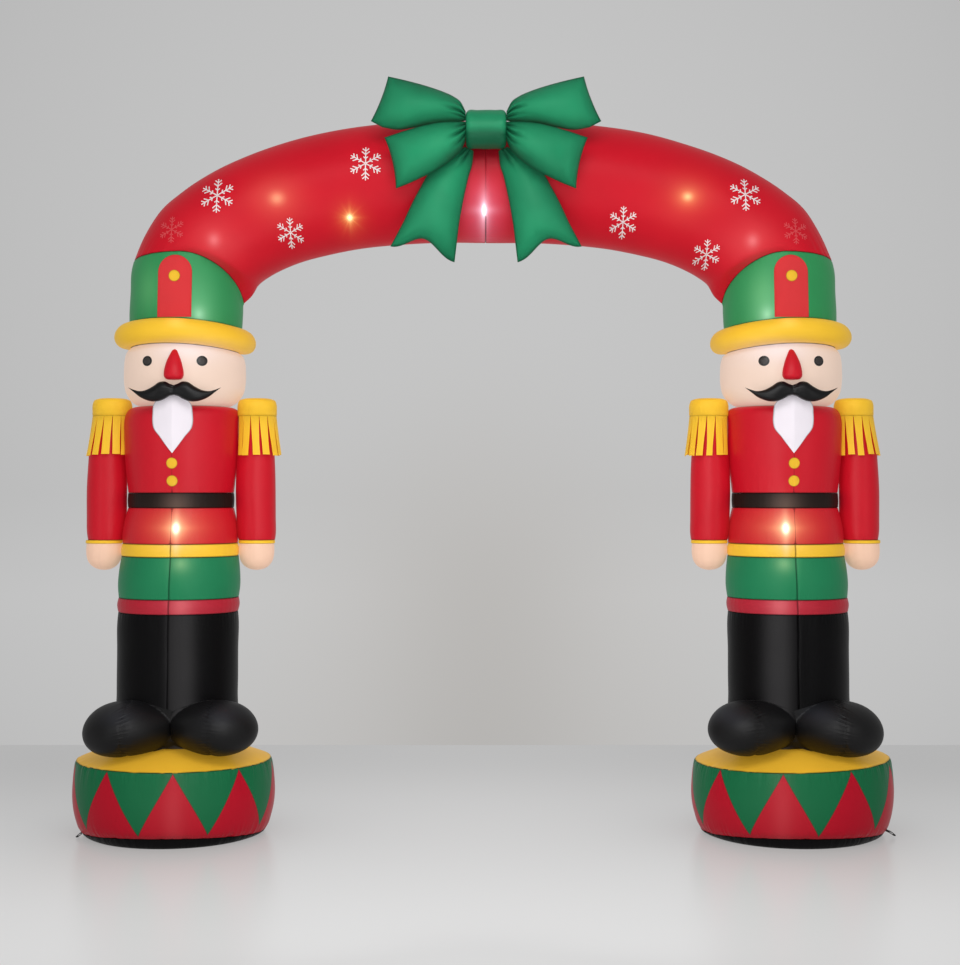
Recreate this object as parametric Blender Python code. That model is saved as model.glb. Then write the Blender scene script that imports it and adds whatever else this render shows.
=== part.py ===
"""Inflatable archway: two toy soldiers on drums carry an arch tube with a bow at its crown.
Metres, +Z up, the front faces -Y. Soldier sizes are written for the right-hand soldier, where
"out" is the distance from the arch's middle plane; the left-hand soldier is its mirror image."""

import math

import bmesh
import bpy
import numpy as np

GAP = 0.0004  # clear space at each sewn joint
REST = 0.0009  # clear space where one curved skin rests on another
SIDES = 24  # points round a soldier's body and round the arch tube
DRUM_SIDES = 32

# Finishes: base colour (linear), roughness
FINISHES = {
    "red": ((0.560, 0.012, 0.022), 0.42),
    "green": ((0.022, 0.260, 0.095), 0.42),
    "yellow": ((0.880, 0.480, 0.040), 0.45),
    "cream": ((0.860, 0.640, 0.510), 0.50),
    "black": ((0.010, 0.010, 0.012), 0.40),
    "white": ((0.720, 0.690, 0.730), 0.80),
}

SHARP = math.radians(50)  # edges steeper than this stay crisp

# Lean of a soldier's centreline: it tips in a little towards the arch as it rises
LEAN = [  # height, out
    (0.000, 1.1494),
    (0.275, 1.1494),
    (0.345, 1.1400),
    (0.820, 1.1345),
    (1.000, 1.1280),
    (1.200, 1.1240),
    (1.530, 1.1215),
    (1.600, 1.1100),
    (1.850, 1.1086),
    (1.900, 1.1060),
    (2.120, 1.0935),
]
BRIM_TILT = 0.038  # rise per metre outwards of the hat's brim and everything stacked on it
BRIM_DROOP = 0.022  # how far the brim's two sides hang below its front and back

# Stacked bodies of revolution, bottom to top
DRUM_BASE = [  # share of the foot seam's height, radius
    (0.00, 0.3110),
    (0.20, 0.3215),
    (0.55, 0.3305),
    (1.00, 0.3360),
]
FOOT_SEAM = (0.0100, 0.0290, 1.5)  # height at the drum's sides, rise to its front and back, power
DRUM_CURL = (0.45, 0.3500)  # share of the way from the foot seam to the side's first height, radius
DRUM_SIDE = [  # height, radius
    (0.0650, 0.3590),
    (0.1000, 0.3670),
    (0.1500, 0.3717),
    (0.2000, 0.3700),
    (0.2450, 0.3655),
    (0.2720, 0.3600),
    (0.2776, 0.3575),
]
DRUM_TILT = {-1: 0.006, 1: 0.030}  # each drum's top rises this much per metre outwards
DOME_RADIUS = 0.3560
DOME_FOOT = 0.2780
DOME_RISE = 0.0768
LEG_PINCH = 0.0080  # the seams down the front and back of the legs draw in by this
BAND_PINCH = 0.0040
LEGS = [  # height, radius
    (0.3450, 0.2000),
    (0.3650, 0.2120),
    (0.3950, 0.2200),
    (0.5260, 0.2225),
    (0.6860, 0.2225),
    (0.7960, 0.2225),
    (0.8232, 0.2200),
]
RED_BAND = [(0.8236, 0.2205), (0.8500, 0.2250), (0.8764, 0.2205)]  # height, radius
GREEN_BAND = [(0.8768, 0.2205), (0.9160, 0.2245), (0.9760, 0.2220), (1.0300, 0.2150)]
YELLOW_BAND = [(1.0304, 0.2150), (1.0540, 0.2165), (1.0770, 0.2120)]
SKIRT = [(1.0774, 0.2120), (1.1060, 0.2130), (1.1560, 0.2070), (1.2090, 0.1940)]
BELT = [(1.2094, 0.1945), (1.2360, 0.1960), (1.2628, 0.1945)]
TUNIC = [  # height, radius
    (1.2632, 0.1940),
    (1.3060, 0.1985),
    (1.3860, 0.2065),
    (1.4660, 0.2095),
    (1.5310, 0.2100),
    (1.5560, 0.2075),
    (1.5710, 0.1990),
    (1.5785, 0.1850),
    (1.5810, 0.1640),
]
HEAD = [  # height, radius
    (1.5814, 0.1560),
    (1.5910, 0.1810),
    (1.6080, 0.2000),
    (1.6360, 0.2165),
    (1.6710, 0.2230),
    (1.7160, 0.2240),
    (1.7560, 0.2215),
    (1.7860, 0.2140),
    (1.8051, 0.1960),
]
BRIM_HEIGHT = 1.8500
BRIM_ROLL = 0.0440  # half the thickness of the rolled edge
BRIM_RADIUS = 0.2594
HAT_FOOT_RADIUS = 0.2070
HAT_WAIST_RADIUS = 0.2085
HAT_TOP_RADIUS = 0.2040
HAT_SEAM_CREST = 2.1370  # front and back of the hat's slanting top seam
HAT_SEAM_DROP = (0.0252, 0.1695)  # how far the seam falls at its outer and inner ends

# Arms: each sleeve is a slightly curved tube, then the hand
SLEEVE = [  # height, outer arm's out, inner arm's out, radius
    (1.0882, 1.4060, 0.8400, 0.0640),
    (1.1060, 1.4060, 0.8400, 0.0665),
    (1.2460, 1.4045, 0.8400, 0.0690),
    (1.3860, 1.3995, 0.8410, 0.0685),
    (1.4860, 1.3950, 0.8430, 0.0620),
    (1.5456, 1.3885, 0.8430, 0.0570),
]
HAND = [  # height, radius
    (1.0878, 0.0625),
    (1.0660, 0.0655),
    (1.0360, 0.0650),
    (1.0110, 0.0590),
    (0.9910, 0.0440),
    (0.9800, 0.0240),
]
HAND_TIP = 0.9765
HAND_OUT = (1.4110, 0.8430)  # outer hand, inner hand
EPAULETTE_OUT = (1.3805, 0.8412)  # outer shoulder, inner shoulder
EPAULETTE_CAP = [  # height, radius
    (1.5460, 0.0682),
    (1.5460, 0.0712),
    (1.5660, 0.0728),
    (1.5910, 0.0722),
    (1.6050, 0.0680),
    (1.6125, 0.0520),
]
EPAULETTE_TOP = 1.6150
STRIP_COUNT = 14  # pitch of the fringe; the two strips that would face the chest are left out
STRIP_SWING = {"outer": 0.0105, "inner": 0.0060}  # how far the fringe's foot hangs out from the chest
STRIP_STEPS = [  # height, inner radius, outer radius, half-angle in degrees
    (1.4760, 0.0745, 0.0775, 10.0),
    (1.4040, 0.0830, 0.0855, 8.2),
]
STRIP_ROOT_HALF_ANGLE = 11.0

# Feet: puffed shoes, splayed out from the legs
FOOT_SIZE = (0.196, 0.148, 0.1075)  # half-length, half-width, half-height
FOOT_PLACE = (0.1375, -0.165, 0.4155)  # sideways from the middle between the feet, depth, height
FEET_OUT = 1.1250
FOOT_SPLAY = math.radians(40)
FOOT_DROOP = {"outer": 0.0220, "inner": 0.0060}  # how far the toe sinks towards the drum
FOOT_FULLNESS = 2.35
FOOT_TAPER = (0.92, 0.08)  # height share at the middle of the foot, and what the toe adds

# Face
MOUSTACHE = [  # sideways, top, bottom, half-depth, depth of its middle
    (0.0000, 1.6530, 1.6130, 0.0210, -0.2373),
    (0.0120, 1.6550, 1.6120, 0.0225, -0.2382),
    (0.0290, 1.6631, 1.6028, 0.0245, -0.2390),
    (0.0500, 1.6620, 1.5938, 0.0250, -0.2395),
    (0.0750, 1.6460, 1.5916, 0.0230, -0.2375),
    (0.1010, 1.6333, 1.5974, 0.0185, -0.2340),
    (0.1260, 1.6297, 1.6100, 0.0115, -0.2300),
    (0.1440, 1.6340, 1.6243, 0.0060, -0.2270),
]
MOUSTACHE_TIP = (0.1680, 1.6430, -0.2240)  # sideways, height, depth
NOSE = [  # height, half-width, half-depth
    (1.7777, 0.0075, 0.0050),
    (1.7698, 0.0120, 0.0085),
    (1.7573, 0.0180, 0.0130),
    (1.7394, 0.0255, 0.0190),
    (1.7179, 0.0315, 0.0245),
    (1.6964, 0.0355, 0.0285),
    (1.6821, 0.0350, 0.0290),
    (1.6732, 0.0290, 0.0240),
]
NOSE_TOP = 1.7813
NOSE_FOOT = 1.6696
NOSE_TOP_PROUD = 0.0020  # how far its two ends stand off the skin
NOSE_FOOT_PROUD = 0.0180
BEARD = [  # height, half-width, depth of the fold, depth of the edge
    (1.6250, 0.0460, -0.2142, -0.2093),
    (1.6080, 0.0500, -0.2165, -0.2110),
    (1.5810, 0.0690, -0.2205, -0.2040),
    (1.5510, 0.0725, -0.2210, -0.2010),
    (1.5210, 0.0735, -0.2215, -0.2007),
    (1.5010, 0.0700, -0.2220, -0.2017),
    (1.4660, 0.0450, -0.2210, -0.2092),
    (1.4360, 0.0230, -0.2180, -0.2130),
]
BEARD_TIP = (1.4080, -0.2140)
BEARD_THICKNESS = 0.0030

# Arch tube: where each section's outer and inner edges lie in the middle plane, hat to crown
ARCH_SECTIONS = [  # outer out, outer height, inner out, inner height
    (1.2080, 2.2940, 0.8380, 2.0400),
    (1.1150, 2.3810, 0.7950, 2.0720),
    (1.0040, 2.4530, 0.7390, 2.1010),
    (0.8670, 2.5170, 0.6660, 2.1290),
    (0.7180, 2.5680, 0.5720, 2.1530),
    (0.5580, 2.6060, 0.4650, 2.1730),
    (0.3830, 2.6310, 0.3290, 2.1875),
    (0.1960, 2.6410, 0.1750, 2.1955),
]
ARCH_SWELL = 1.03
ARCH_CROWN = (2.6430, 2.1965)  # top and underside at the middle
CROWN_SEAM = 0.0100  # the two lengths of tube meet a little to the right of the middle

# Bow, centred on its knot; the left half mirrors the right
BOW_OUT = 0.0110
KNOT_SIDES = 20
KNOT_MIDDLE = (-0.2612, 2.5630)  # depth, height
KNOT = [  # sideways, half-height, half-depth
    (0.0725, 0.0570, 0.0600),
    (0.0650, 0.0660, 0.0690),
    (0.0320, 0.0680, 0.0720),
]
UPPER_LOOP = [  # top sideways, top height, bottom sideways, bottom height, half-depth, depth
    (0.0730, 2.6270, 0.0730, 2.5940, 0.0240, -0.2642),
    (0.0900, 2.6600, 0.0960, 2.5890, 0.0360, -0.2642),
    (0.1160, 2.6800, 0.1400, 2.5850, 0.0440, -0.2642),
    (0.1530, 2.6970, 0.1960, 2.5800, 0.0490, -0.2652),
    (0.2080, 2.7160, 0.2560, 2.5690, 0.0490, -0.2652),
    (0.2720, 2.7340, 0.3170, 2.5610, 0.0410, -0.2642),
    (0.3190, 2.7455, 0.3700, 2.5700, 0.0250, -0.2632),
]
UPPER_LOOP_END = (0.3500, 2.7525, 0.4120, 2.5925, -0.2620)  # both corners, depth
UPPER_LOOP_HOLLOW = (0.0055, 0.50)  # how far the sewn end draws in, and where across it
LOWER_LOOP = [
    (0.0730, 2.5870, 0.0730, 2.5180, 0.0280, -0.2792),
    (0.1020, 2.5850, 0.0900, 2.4800, 0.0370, -0.2922),
    (0.1420, 2.5820, 0.1280, 2.4420, 0.0430, -0.3022),
    (0.1900, 2.5760, 0.1780, 2.4080, 0.0440, -0.3042),
    (0.2420, 2.5645, 0.2280, 2.3845, 0.0390, -0.3002),
    (0.2990, 2.5490, 0.2750, 2.3640, 0.0250, -0.2932),
]
LOWER_LOOP_END = (0.3620, 2.5285, 0.3210, 2.3465, -0.2890)
LOWER_LOOP_HOLLOW = (0.0090, 0.50)
TAIL = [
    (0.0770, 2.5020, 0.0440, 2.4865, 0.0105, -0.2568),
    (0.1300, 2.4740, 0.0500, 2.4400, 0.0140, -0.2384),
    (0.1960, 2.4230, 0.0610, 2.4040, 0.0170, -0.2404),
    (0.2370, 2.3560, 0.0735, 2.3500, 0.0220, -0.2444),
    (0.2690, 2.2950, 0.0860, 2.2890, 0.0260, -0.2454),
    (0.2960, 2.2360, 0.0970, 2.2260, 0.0220, -0.2444),
]
TAIL_END = (0.3430, 2.1475, 0.1130, 2.0905, -0.2425)
TAIL_HOLLOW = (0.0546, 0.459)
NOTCH_POWER = 1.1  # the notch's sides round over towards the tips

# Tether straps at the outer foot of each drum
STRAP = [  # out beyond the drum's centreline, height of its middle, thickness of the doubled webbing
    (0.3200, 0.0265, 0.0034),
    (0.3340, 0.0235, 0.0056),
    (0.3450, 0.0185, 0.0080),
    (0.3540, 0.0125, 0.0090),
    (0.3590, 0.0095, 0.0055),
]
STRAP_SHIFT = {-1: (-0.0200, -0.0050), 1: (0.0, 0.0)}  # how each tether lies off that
STRAP_DEPTH = -0.1000
STRAP_HALF_WIDTH = 0.0125


def clear_scene():
    for obj in list(bpy.data.objects):
        bpy.data.objects.remove(obj, do_unlink=True)


def finish(name):
    """The fabric's material, made once."""
    found = bpy.data.materials.get(name)
    if found:
        return found
    colour, roughness = FINISHES[name]
    material = bpy.data.materials.new(name)
    material.use_nodes = True
    shader = material.node_tree.nodes["Principled BSDF"]
    shader.inputs["Base Color"].default_value = (*colour, 1.0)
    shader.inputs["Roughness"].default_value = roughness
    shader.inputs["Metallic"].default_value = 0.0
    return material


def make(name, colour, shape, side=1):
    """One closed mesh, faces turned outwards, mirrored when side is -1."""
    points, faces = shape
    mesh = bpy.data.meshes.new(name)
    mesh.from_pydata([(x * side, y, z) for x, y, z in points], [], faces)
    work = bmesh.new()
    work.from_mesh(mesh)
    bmesh.ops.recalc_face_normals(work, faces=work.faces)
    if work.calc_volume(signed=True) < 0:
        bmesh.ops.reverse_faces(work, faces=work.faces)
    work.to_mesh(mesh)
    work.free()
    mesh.shade_smooth()
    mesh.set_sharp_from_angle(angle=SHARP)
    mesh.materials.append(finish(colour))
    obj = bpy.data.objects.new(name, mesh)
    bpy.context.scene.collection.objects.link(obj)
    return obj


def loft(rings, start=None, end=None):
    """Points and faces through equal rings; each end closes on a point, or on its ring's middle."""
    count = len(rings[0])
    points = [tuple(p) for ring in rings for p in ring]
    faces = []
    for i in range(len(rings) - 1):
        for k in range(count):
            a, b = i * count + k, i * count + (k + 1) % count
            faces.append((a, b, b + count, a + count))
    for ring, tip in ((0, start), (len(rings) - 1, end)):
        points.append(tuple(np.mean(rings[ring], axis=0)) if tip is None else tuple(tip))
        hub = len(points) - 1
        for k in range(count):
            faces.append((ring * count + k, ring * count + (k + 1) % count, hub))
    return points, faces


def out_at(height):
    return float(np.interp(height, *zip(*LEAN)))


def circle(count):
    return [2 * math.pi * k / count for k in range(count)]


def level_ring(height, radius, count, saddle=0.0, pinch=0.0, grow=0.0):
    """A ring round the soldier's centreline; pinch draws it in along the middle seam, and
    saddle is its share of the brim's tilt and droop."""
    middle = out_at(height)
    ring = []
    for a in circle(count):
        r = radius + grow - pinch * abs(math.sin(a)) ** 60
        x, y = r * math.cos(a), r * math.sin(a)
        ring.append((middle + x, y, height + saddle * brim_rise(x)))
    return ring


def brim_rise(x):
    return BRIM_TILT * x - BRIM_DROOP * (x / BRIM_RADIUS) ** 2


def saddle_cap(ring, middle, height, lift=0.0):
    """Rings that carry a saddle-shaped end in to its middle, and the middle point."""
    inner = []
    for share in (0.66, 0.33):
        inner.append(
            [
                (middle + (x - middle) * share, y * share, height + lift + brim_rise((x - middle) * share))
                for x, y, _ in ring
            ]
        )
    return inner, (middle, 0.0, height + lift)


def looked_up(table, height):
    """The radius that a table of heights and radii gives at a height."""
    return float(np.interp(height, *zip(*table)))


def dome(out, y, side):
    """Height of the drum's crowned top."""
    sideways = out - LEAN[0][1]
    share = min(1.0, math.hypot(sideways, y) / DOME_RADIUS)
    return DOME_FOOT + DOME_RISE * (1 - share**1.8) + DRUM_TILT[side] * sideways


def stack(name, colour, side, table, count, pinch=0.0):
    make(name, colour, loft([level_ring(z, r, count, pinch=pinch) for z, r in table]), side)


def foot_seam(forward):
    """Height of the seam between the drum's side and its base, by the share of the way forward."""
    low, rise, power = FOOT_SEAM
    return low + rise * abs(forward) ** power


def foot_profile(forward):
    """Heights and radii up the drum's foot, by the share of the way forward."""
    seam, (share, radius) = foot_seam(forward), DRUM_CURL
    first = DRUM_SIDE[0]
    base = [(s * seam, r) for s, r in DRUM_BASE]
    return base, [(seam + GAP, DRUM_BASE[-1][1]), (seam + share * (first[0] - seam), radius), *DRUM_SIDE]


def drum(prefix, side):
    middle = LEAN[0][1]
    round_ = circle(DRUM_SIDES)
    profiles = [foot_profile(math.sin(a)) for a in round_]
    low, high = DRUM_SIDE[0][0], DRUM_SIDE[-1][0]
    skins = []
    for which in (0, 1):
        rings = []
        for level in range(len(profiles[0][which])):
            ring = []
            for a, profile in zip(round_, profiles):
                z, r = profile[which][level]
                x = r * math.cos(a)
                tilt = DRUM_TILT[side] * max(0.0, z - low) / (high - low)
                ring.append((middle + x, r * math.sin(a), z + tilt * x))
            rings.append(ring)
        skins.append(rings)
    hollow = foot_seam(1.0)
    make(prefix + "drum_base", "black", loft(skins[0], (middle, 0.0, 0.0), (middle, 0.0, hollow)), side)
    ends = (middle, 0.0, hollow + GAP), (middle, 0.0, high)
    make(prefix + "drum_side", "green", loft(skins[1], *ends), side)
    rings = []
    for share in (1.0, 0.97, 0.90, 0.76, 0.56, 0.30):
        ring = []
        for a in circle(DRUM_SIDES):
            x, y = DOME_RADIUS * share * math.cos(a), DOME_RADIUS * share * math.sin(a)
            ring.append((middle + x, y, dome(middle + x, y, side)))
        rings.append(ring)
    ends = (middle, 0.0, DOME_FOOT), (middle, 0.0, dome(middle, 0.0, side))
    make(prefix + "drum_top", "yellow", loft(rings, *ends), side)


def legs(prefix, side):
    """The leg column: its underside follows the drum's crown."""
    rings = []
    for r in (0.060, 0.120, 0.175):
        middle = out_at(0.345)
        ring = [(middle + r * math.cos(a), r * math.sin(a)) for a in circle(SIDES)]
        rings.append([(x, y, dome(x, y, side) + REST) for x, y in ring])
    rings += [level_ring(z, r, SIDES, pinch=LEG_PINCH) for z, r in LEGS]
    middle = out_at(0.345)
    tip = (middle, 0.0, dome(middle, 0.0, side) + REST)
    make(prefix + "legs", "black", loft(rings, tip), side)
    grown = [level_ring(z, r, SIDES, pinch=LEG_PINCH, grow=REST) for z, r in [(0.26, 0.175)] + LEGS]
    return hidden(make(prefix + "leg_seat", "black", loft(grown), side))


def hidden(cutter):
    cutter.hide_render = True
    cutter.display_type = "WIRE"
    return cutter


def seat_on(obj, cutter):
    cut = obj.modifiers.new("seat", "BOOLEAN")
    cut.operation = "DIFFERENCE"
    cut.solver = "EXACT"
    cut.object = cutter


def foot(name, side, way, seat, droop):
    """A puffed shoe, flat against its twin along the middle and resting on the drum's crown."""
    length, width, height = FOOT_SIZE
    sideways, depth, middle = FOOT_PLACE
    centre = FEET_OUT
    along = (math.sin(FOOT_SPLAY), -math.cos(FOOT_SPLAY))
    across = (math.cos(FOOT_SPLAY), math.sin(FOOT_SPLAY))

    def place(s, c, h):
        h *= FOOT_TAPER[0] + FOOT_TAPER[1] * s / length
        h -= droop * max(s / length, 0.0) ** 2
        x = max(sideways + s * along[0] + c * across[0], GAP / 2)
        y = depth + s * along[1] + c * across[1]
        out = centre + way * x
        return (out, y, max(middle + h, dome(out, y, side) + REST + GAP))

    rings = []
    for t in (-0.93, -0.78, -0.52, -0.20, 0.15, 0.45, 0.70, 0.87, 0.96):
        full = (1 - abs(t) ** FOOT_FULLNESS) ** (1 / FOOT_FULLNESS)
        rings.append(
            [
                place(t * length, width * full * math.cos(a), height * full * math.sin(a))
                for a in circle(16)
            ]
        )
    shape = loft(rings, place(-length, 0, 0), place(length, 0, 0))
    seat_on(make(name, "black", shape, side), seat)


def sleeve_and_hand(prefix, side, arm):
    column = {"outer": 1, "inner": 2}[arm]
    rings = []
    for row in SLEEVE:
        z, out, r = row[0], row[column], row[3]
        rings.append([(out + r * math.cos(a), r * math.sin(a), z) for a in circle(16)])
    make(f"{prefix}sleeve_{arm}", "red", loft(rings), side)
    out = HAND_OUT[column - 1]
    rings = [[(out + r * math.cos(a), r * math.sin(a), z) for a in circle(16)] for z, r in HAND]
    make(f"{prefix}hand_{arm}", "cream", loft(rings, None, (out, 0.0, HAND_TIP)), side)


def epaulette(name, side, out, way, seat, swing):
    """A pillbox head and its flat fringe strips, drawn down out of the head's rim."""
    pitch = 2 * math.pi / STRIP_COUNT
    angles = []  # from the front, positive away from the chest; each strip's two edges
    for k in range(STRIP_COUNT):
        middle = (k - STRIP_COUNT / 2 + 0.5) * pitch - pitch / 2
        half = math.radians(STRIP_ROOT_HALF_ANGLE)
        angles += [middle - half, middle + half]

    def at(angle, r, z, share=0.0):
        return (out + way * (r * math.sin(angle) + swing * share), -r * math.cos(angle), z)

    rings = [[at(a, r, z) for a in angles] for z, r in EPAULETTE_CAP]
    points, faces = loft(
        rings, (out, 0.0, EPAULETTE_CAP[0][0]), (out, 0.0, EPAULETTE_TOP)
    )
    count = len(angles)
    for k in range(STRIP_COUNT):
        middle = (k - STRIP_COUNT / 2 + 0.5) * pitch - pitch / 2
        if math.sin(middle) < -0.95:
            continue
        i = 2 * k
        root = (i, i + 1, i + 1 + count, i + count)
        faces = [f for f in faces if set(f) != set(root)]
        last = root
        for z, inner, outer, half in STRIP_STEPS:
            half = math.radians(half)
            share = (EPAULETTE_CAP[0][0] - z) / (EPAULETTE_CAP[0][0] - STRIP_STEPS[-1][0])
            first = len(points)
            points += [
                at(middle - half, inner, z, share),
                at(middle + half, inner, z, share),
                at(middle + half, outer, z, share),
                at(middle - half, outer, z, share),
            ]
            new = (first, first + 1, first + 2, first + 3)
            for j in range(4):
                faces.append((last[j], last[(j + 1) % 4], new[(j + 1) % 4], new[j]))
            last = new
        faces.append(last)
    seat_on(make(name, "yellow", (points, faces), side), seat)


def tunic(prefix, side):
    stack(prefix + "tunic", "red", side, TUNIC, SIDES)
    grown = [level_ring(z, r, SIDES, grow=REST) for z, r in TUNIC]
    for ring, rise in ((0, -0.05), (-1, REST)):
        grown[ring] = [(x, y, z + rise) for x, y, z in grown[ring]]
    return hidden(make(prefix + "shoulder_seat", "red", loft(grown), side))


def head(prefix, side):
    last = len(HEAD) - 1
    rings = [
        level_ring(z, r, SIDES, saddle=max(0, i - last + 3) / 3) for i, (z, r) in enumerate(HEAD)
    ]
    inner, tip = saddle_cap(rings[-1], out_at(HEAD[-1][0]), HEAD[-1][0])
    make(prefix + "head", "cream", loft(rings + inner, None, tip), side)


def brim_and_hat(prefix, side):
    rings = []
    for degrees in (-90, -62, -36, -12, 12, 36, 62, 90):
        a = math.radians(degrees)
        r = BRIM_RADIUS - BRIM_ROLL + BRIM_ROLL * math.cos(a)
        rings.append(level_ring(BRIM_HEIGHT + BRIM_ROLL * math.sin(a), r, SIDES, saddle=1.0))
    under, under_tip = saddle_cap(rings[0], out_at(BRIM_HEIGHT), BRIM_HEIGHT - BRIM_ROLL)
    upper, upper_tip = saddle_cap(rings[-1], out_at(BRIM_HEIGHT), BRIM_HEIGHT + BRIM_ROLL)
    shape = loft(under[::-1] + rings + upper, under_tip, upper_tip)
    make(prefix + "brim", "yellow", shape, side)

    foot_height = BRIM_HEIGHT + BRIM_ROLL + REST
    low = level_ring(foot_height, HAT_FOOT_RADIUS, SIDES, saddle=1.0)
    high = hat_seam(SIDES)
    rings = [low]
    for t in (0.12, 0.5, 0.88):
        ring = []
        for a, p, q in zip(circle(SIDES), low, high):
            z = p[2] + t * (q[2] - p[2])
            x, y = HAT_WAIST_RADIUS * math.cos(a), HAT_WAIST_RADIUS * math.sin(a)
            ring.append((out_at(z) + x, y, z))
        rings.append(ring)
    rings.append(high)
    under, tip = saddle_cap(low, out_at(foot_height), foot_height)
    make(prefix + "hat", "green", loft(under[::-1] + rings, tip, seam_middle()), side)


def hat_seam(count, lift=0.0):
    outer_drop, inner_drop = HAT_SEAM_DROP
    middle = out_at(HAT_SEAM_CREST)
    ring = []
    for a in circle(count):
        x, y = HAT_TOP_RADIUS * math.cos(a), HAT_TOP_RADIUS * math.sin(a)
        drop = (outer_drop if x > 0 else inner_drop) * (1 - abs(math.sin(a))) ** 0.9
        ring.append((middle + x, y, HAT_SEAM_CREST - drop + lift))
    return ring


def seam_middle(lift=0.0):
    return (out_at(HAT_SEAM_CREST), 0.0, HAT_SEAM_CREST - 0.03 + lift)


def face(prefix, side):
    middle = out_at(1.65)
    rings = []
    for way in (-1, 1):
        rows = MOUSTACHE[::-1] if way < 0 else MOUSTACHE[1:]
        for sideways, top, bottom, half, depth in rows:
            z, h = (top + bottom) / 2, (top - bottom) / 2
            rings.append(
                [
                    (middle + way * sideways, depth + half * math.cos(a), z + h * math.sin(a))
                    for a in circle(12)
                ]
            )
    sideways, z, y = MOUSTACHE_TIP
    tips = [(middle + way * sideways, y, z) for way in (-1, 1)]
    make(prefix + "moustache", "black", loft(rings, *tips), side)

    rings = []
    for z, half, depth in NOSE:
        skin = -float(np.interp(z, *zip(*HEAD))) - REST
        rings.append(
            [
                (middle + half * math.cos(a), skin - depth + depth * math.sin(a), z)
                for a in circle(12)
            ]
        )
    skin = -max(radius for _, radius in HEAD) - REST
    ends = (middle, skin - NOSE_TOP_PROUD, NOSE_TOP), (middle, skin - NOSE_FOOT_PROUD, NOSE_FOOT)
    make(prefix + "nose", "red", loft(rings, *ends), side)


def beard(prefix, side):
    """A flat, pointed piece folded down its middle."""
    rows = []
    for z, half, fold, edge in BEARD:
        middle = out_at(1.56) + 0.004
        across = (-1.0, -0.5, 0.0, 0.5, 1.0)
        rows.append(
            [(middle + half * u, edge + (fold - edge) * (1 - abs(u) ** 1.4), z) for u in across]
        )
    z, y = BEARD_TIP
    points, faces = [], []
    wide = len(rows[0])
    for back in (0, 1):
        shift = BEARD_THICKNESS * back
        points += [(x, depth + shift, height) for row in rows for x, depth, height in row]
        points.append((rows[0][2][0], y + shift, z))
    layer = len(points) // 2
    for i in range(len(rows) - 1):
        for k in range(wide - 1):
            a = i * wide + k
            faces.append((a, a + 1, a + 1 + wide, a + wide))
    foot_row = (len(rows) - 1) * wide
    tip = layer - 1
    faces += [(foot_row + k, foot_row + k + 1, tip) for k in range(wide - 1)]
    faces += [tuple(v + layer for v in reversed(f)) for f in faces]
    rim = list(range(wide)) + [i * wide + wide - 1 for i in range(1, len(rows))]
    rim += [tip] + [i * wide for i in range(len(rows) - 1, 0, -1)]
    for a, b in zip(rim, rim[1:] + rim[:1]):
        faces.append((a, b, b + layer, a + layer))
    make(prefix + "beard", "white", (points, faces), side)


def strap(prefix, side):
    middle = LEAN[0][1]
    rings = []
    corners = ((-1, 1), (1, 1), (1, -1), (-1, -1))
    outwards, upwards = STRAP_SHIFT[side]
    for reach, z, thick in STRAP:
        reach, z = reach + outwards, z + upwards
        ring = []
        for way, up in corners:
            y, height = STRAP_DEPTH + way * STRAP_HALF_WIDTH, z + up * thick / 2
            base, above = foot_profile(y / DRUM_BASE[-1][1])
            wall = math.sqrt(looked_up(base + above, height) ** 2 - y**2) - REST
            ring.append((middle + max(reach, wall), y, height))
        rings.append(ring)
    make(prefix + "tether_strap", "black", loft(rings), side)


def soldier(prefix, side):
    drum(prefix, side)
    seat = legs(prefix, side)
    foot(prefix + "foot_outer", side, 1, seat, FOOT_DROOP["outer"])
    foot(prefix + "foot_inner", side, -1, seat, FOOT_DROOP["inner"])
    for colour, table in (("red", RED_BAND), ("green", GREEN_BAND), ("yellow", YELLOW_BAND)):
        stack(f"{prefix}{colour}_band", colour, side, table, SIDES, pinch=BAND_PINCH)
    stack(prefix + "skirt", "red", side, SKIRT, SIDES)
    stack(prefix + "belt", "black", side, BELT, SIDES)
    shoulder = tunic(prefix, side)
    for arm, out, way in (("outer", EPAULETTE_OUT[0], 1), ("inner", EPAULETTE_OUT[1], -1)):
        sleeve_and_hand(prefix, side, arm)
        epaulette(f"{prefix}epaulette_{arm}", side, out, way, shoulder, STRIP_SWING[arm])
    head(prefix, side)
    face(prefix, side)
    beard(prefix, side)
    brim_and_hat(prefix, side)
    strap(prefix, side)


def arch():
    """Two lengths of tube, each sewn to a hat and to the other at the crown."""
    count = SIDES
    for name, side in (("arch_left", -1), ("arch_right", 1)):
        seam = hat_seam(count, GAP)
        sections = [arch_ring(*row, count) for row in ARCH_SECTIONS]
        rings = [seam, shoulder_ring(seam, sections[0])] + sections
        top, under = ARCH_CROWN
        out = CROWN_SEAM * side + GAP / 2
        rings.append(arch_ring(out, top, out, under, count))
        make(name, "red", loft(rings, seam_middle(GAP)), side)


def shoulder_ring(seam, section):
    """The tube swells just above the hat's seam."""
    halfway = (np.array(seam) + np.array(section)) / 2
    middle = halfway.mean(axis=0)
    return [tuple(p) for p in middle + (halfway - middle) * ARCH_SWELL]


def arch_ring(outer, outer_z, inner, inner_z, count):
    middle = np.array([(outer + inner) / 2, 0.0, (outer_z + inner_z) / 2])
    reach = np.array([(outer - inner) / 2, 0.0, (outer_z - inner_z) / 2])
    depth = np.array([0.0, np.linalg.norm(reach), 0.0])
    return [tuple(middle + reach * math.cos(a) + depth * math.sin(a)) for a in circle(count)]


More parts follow.
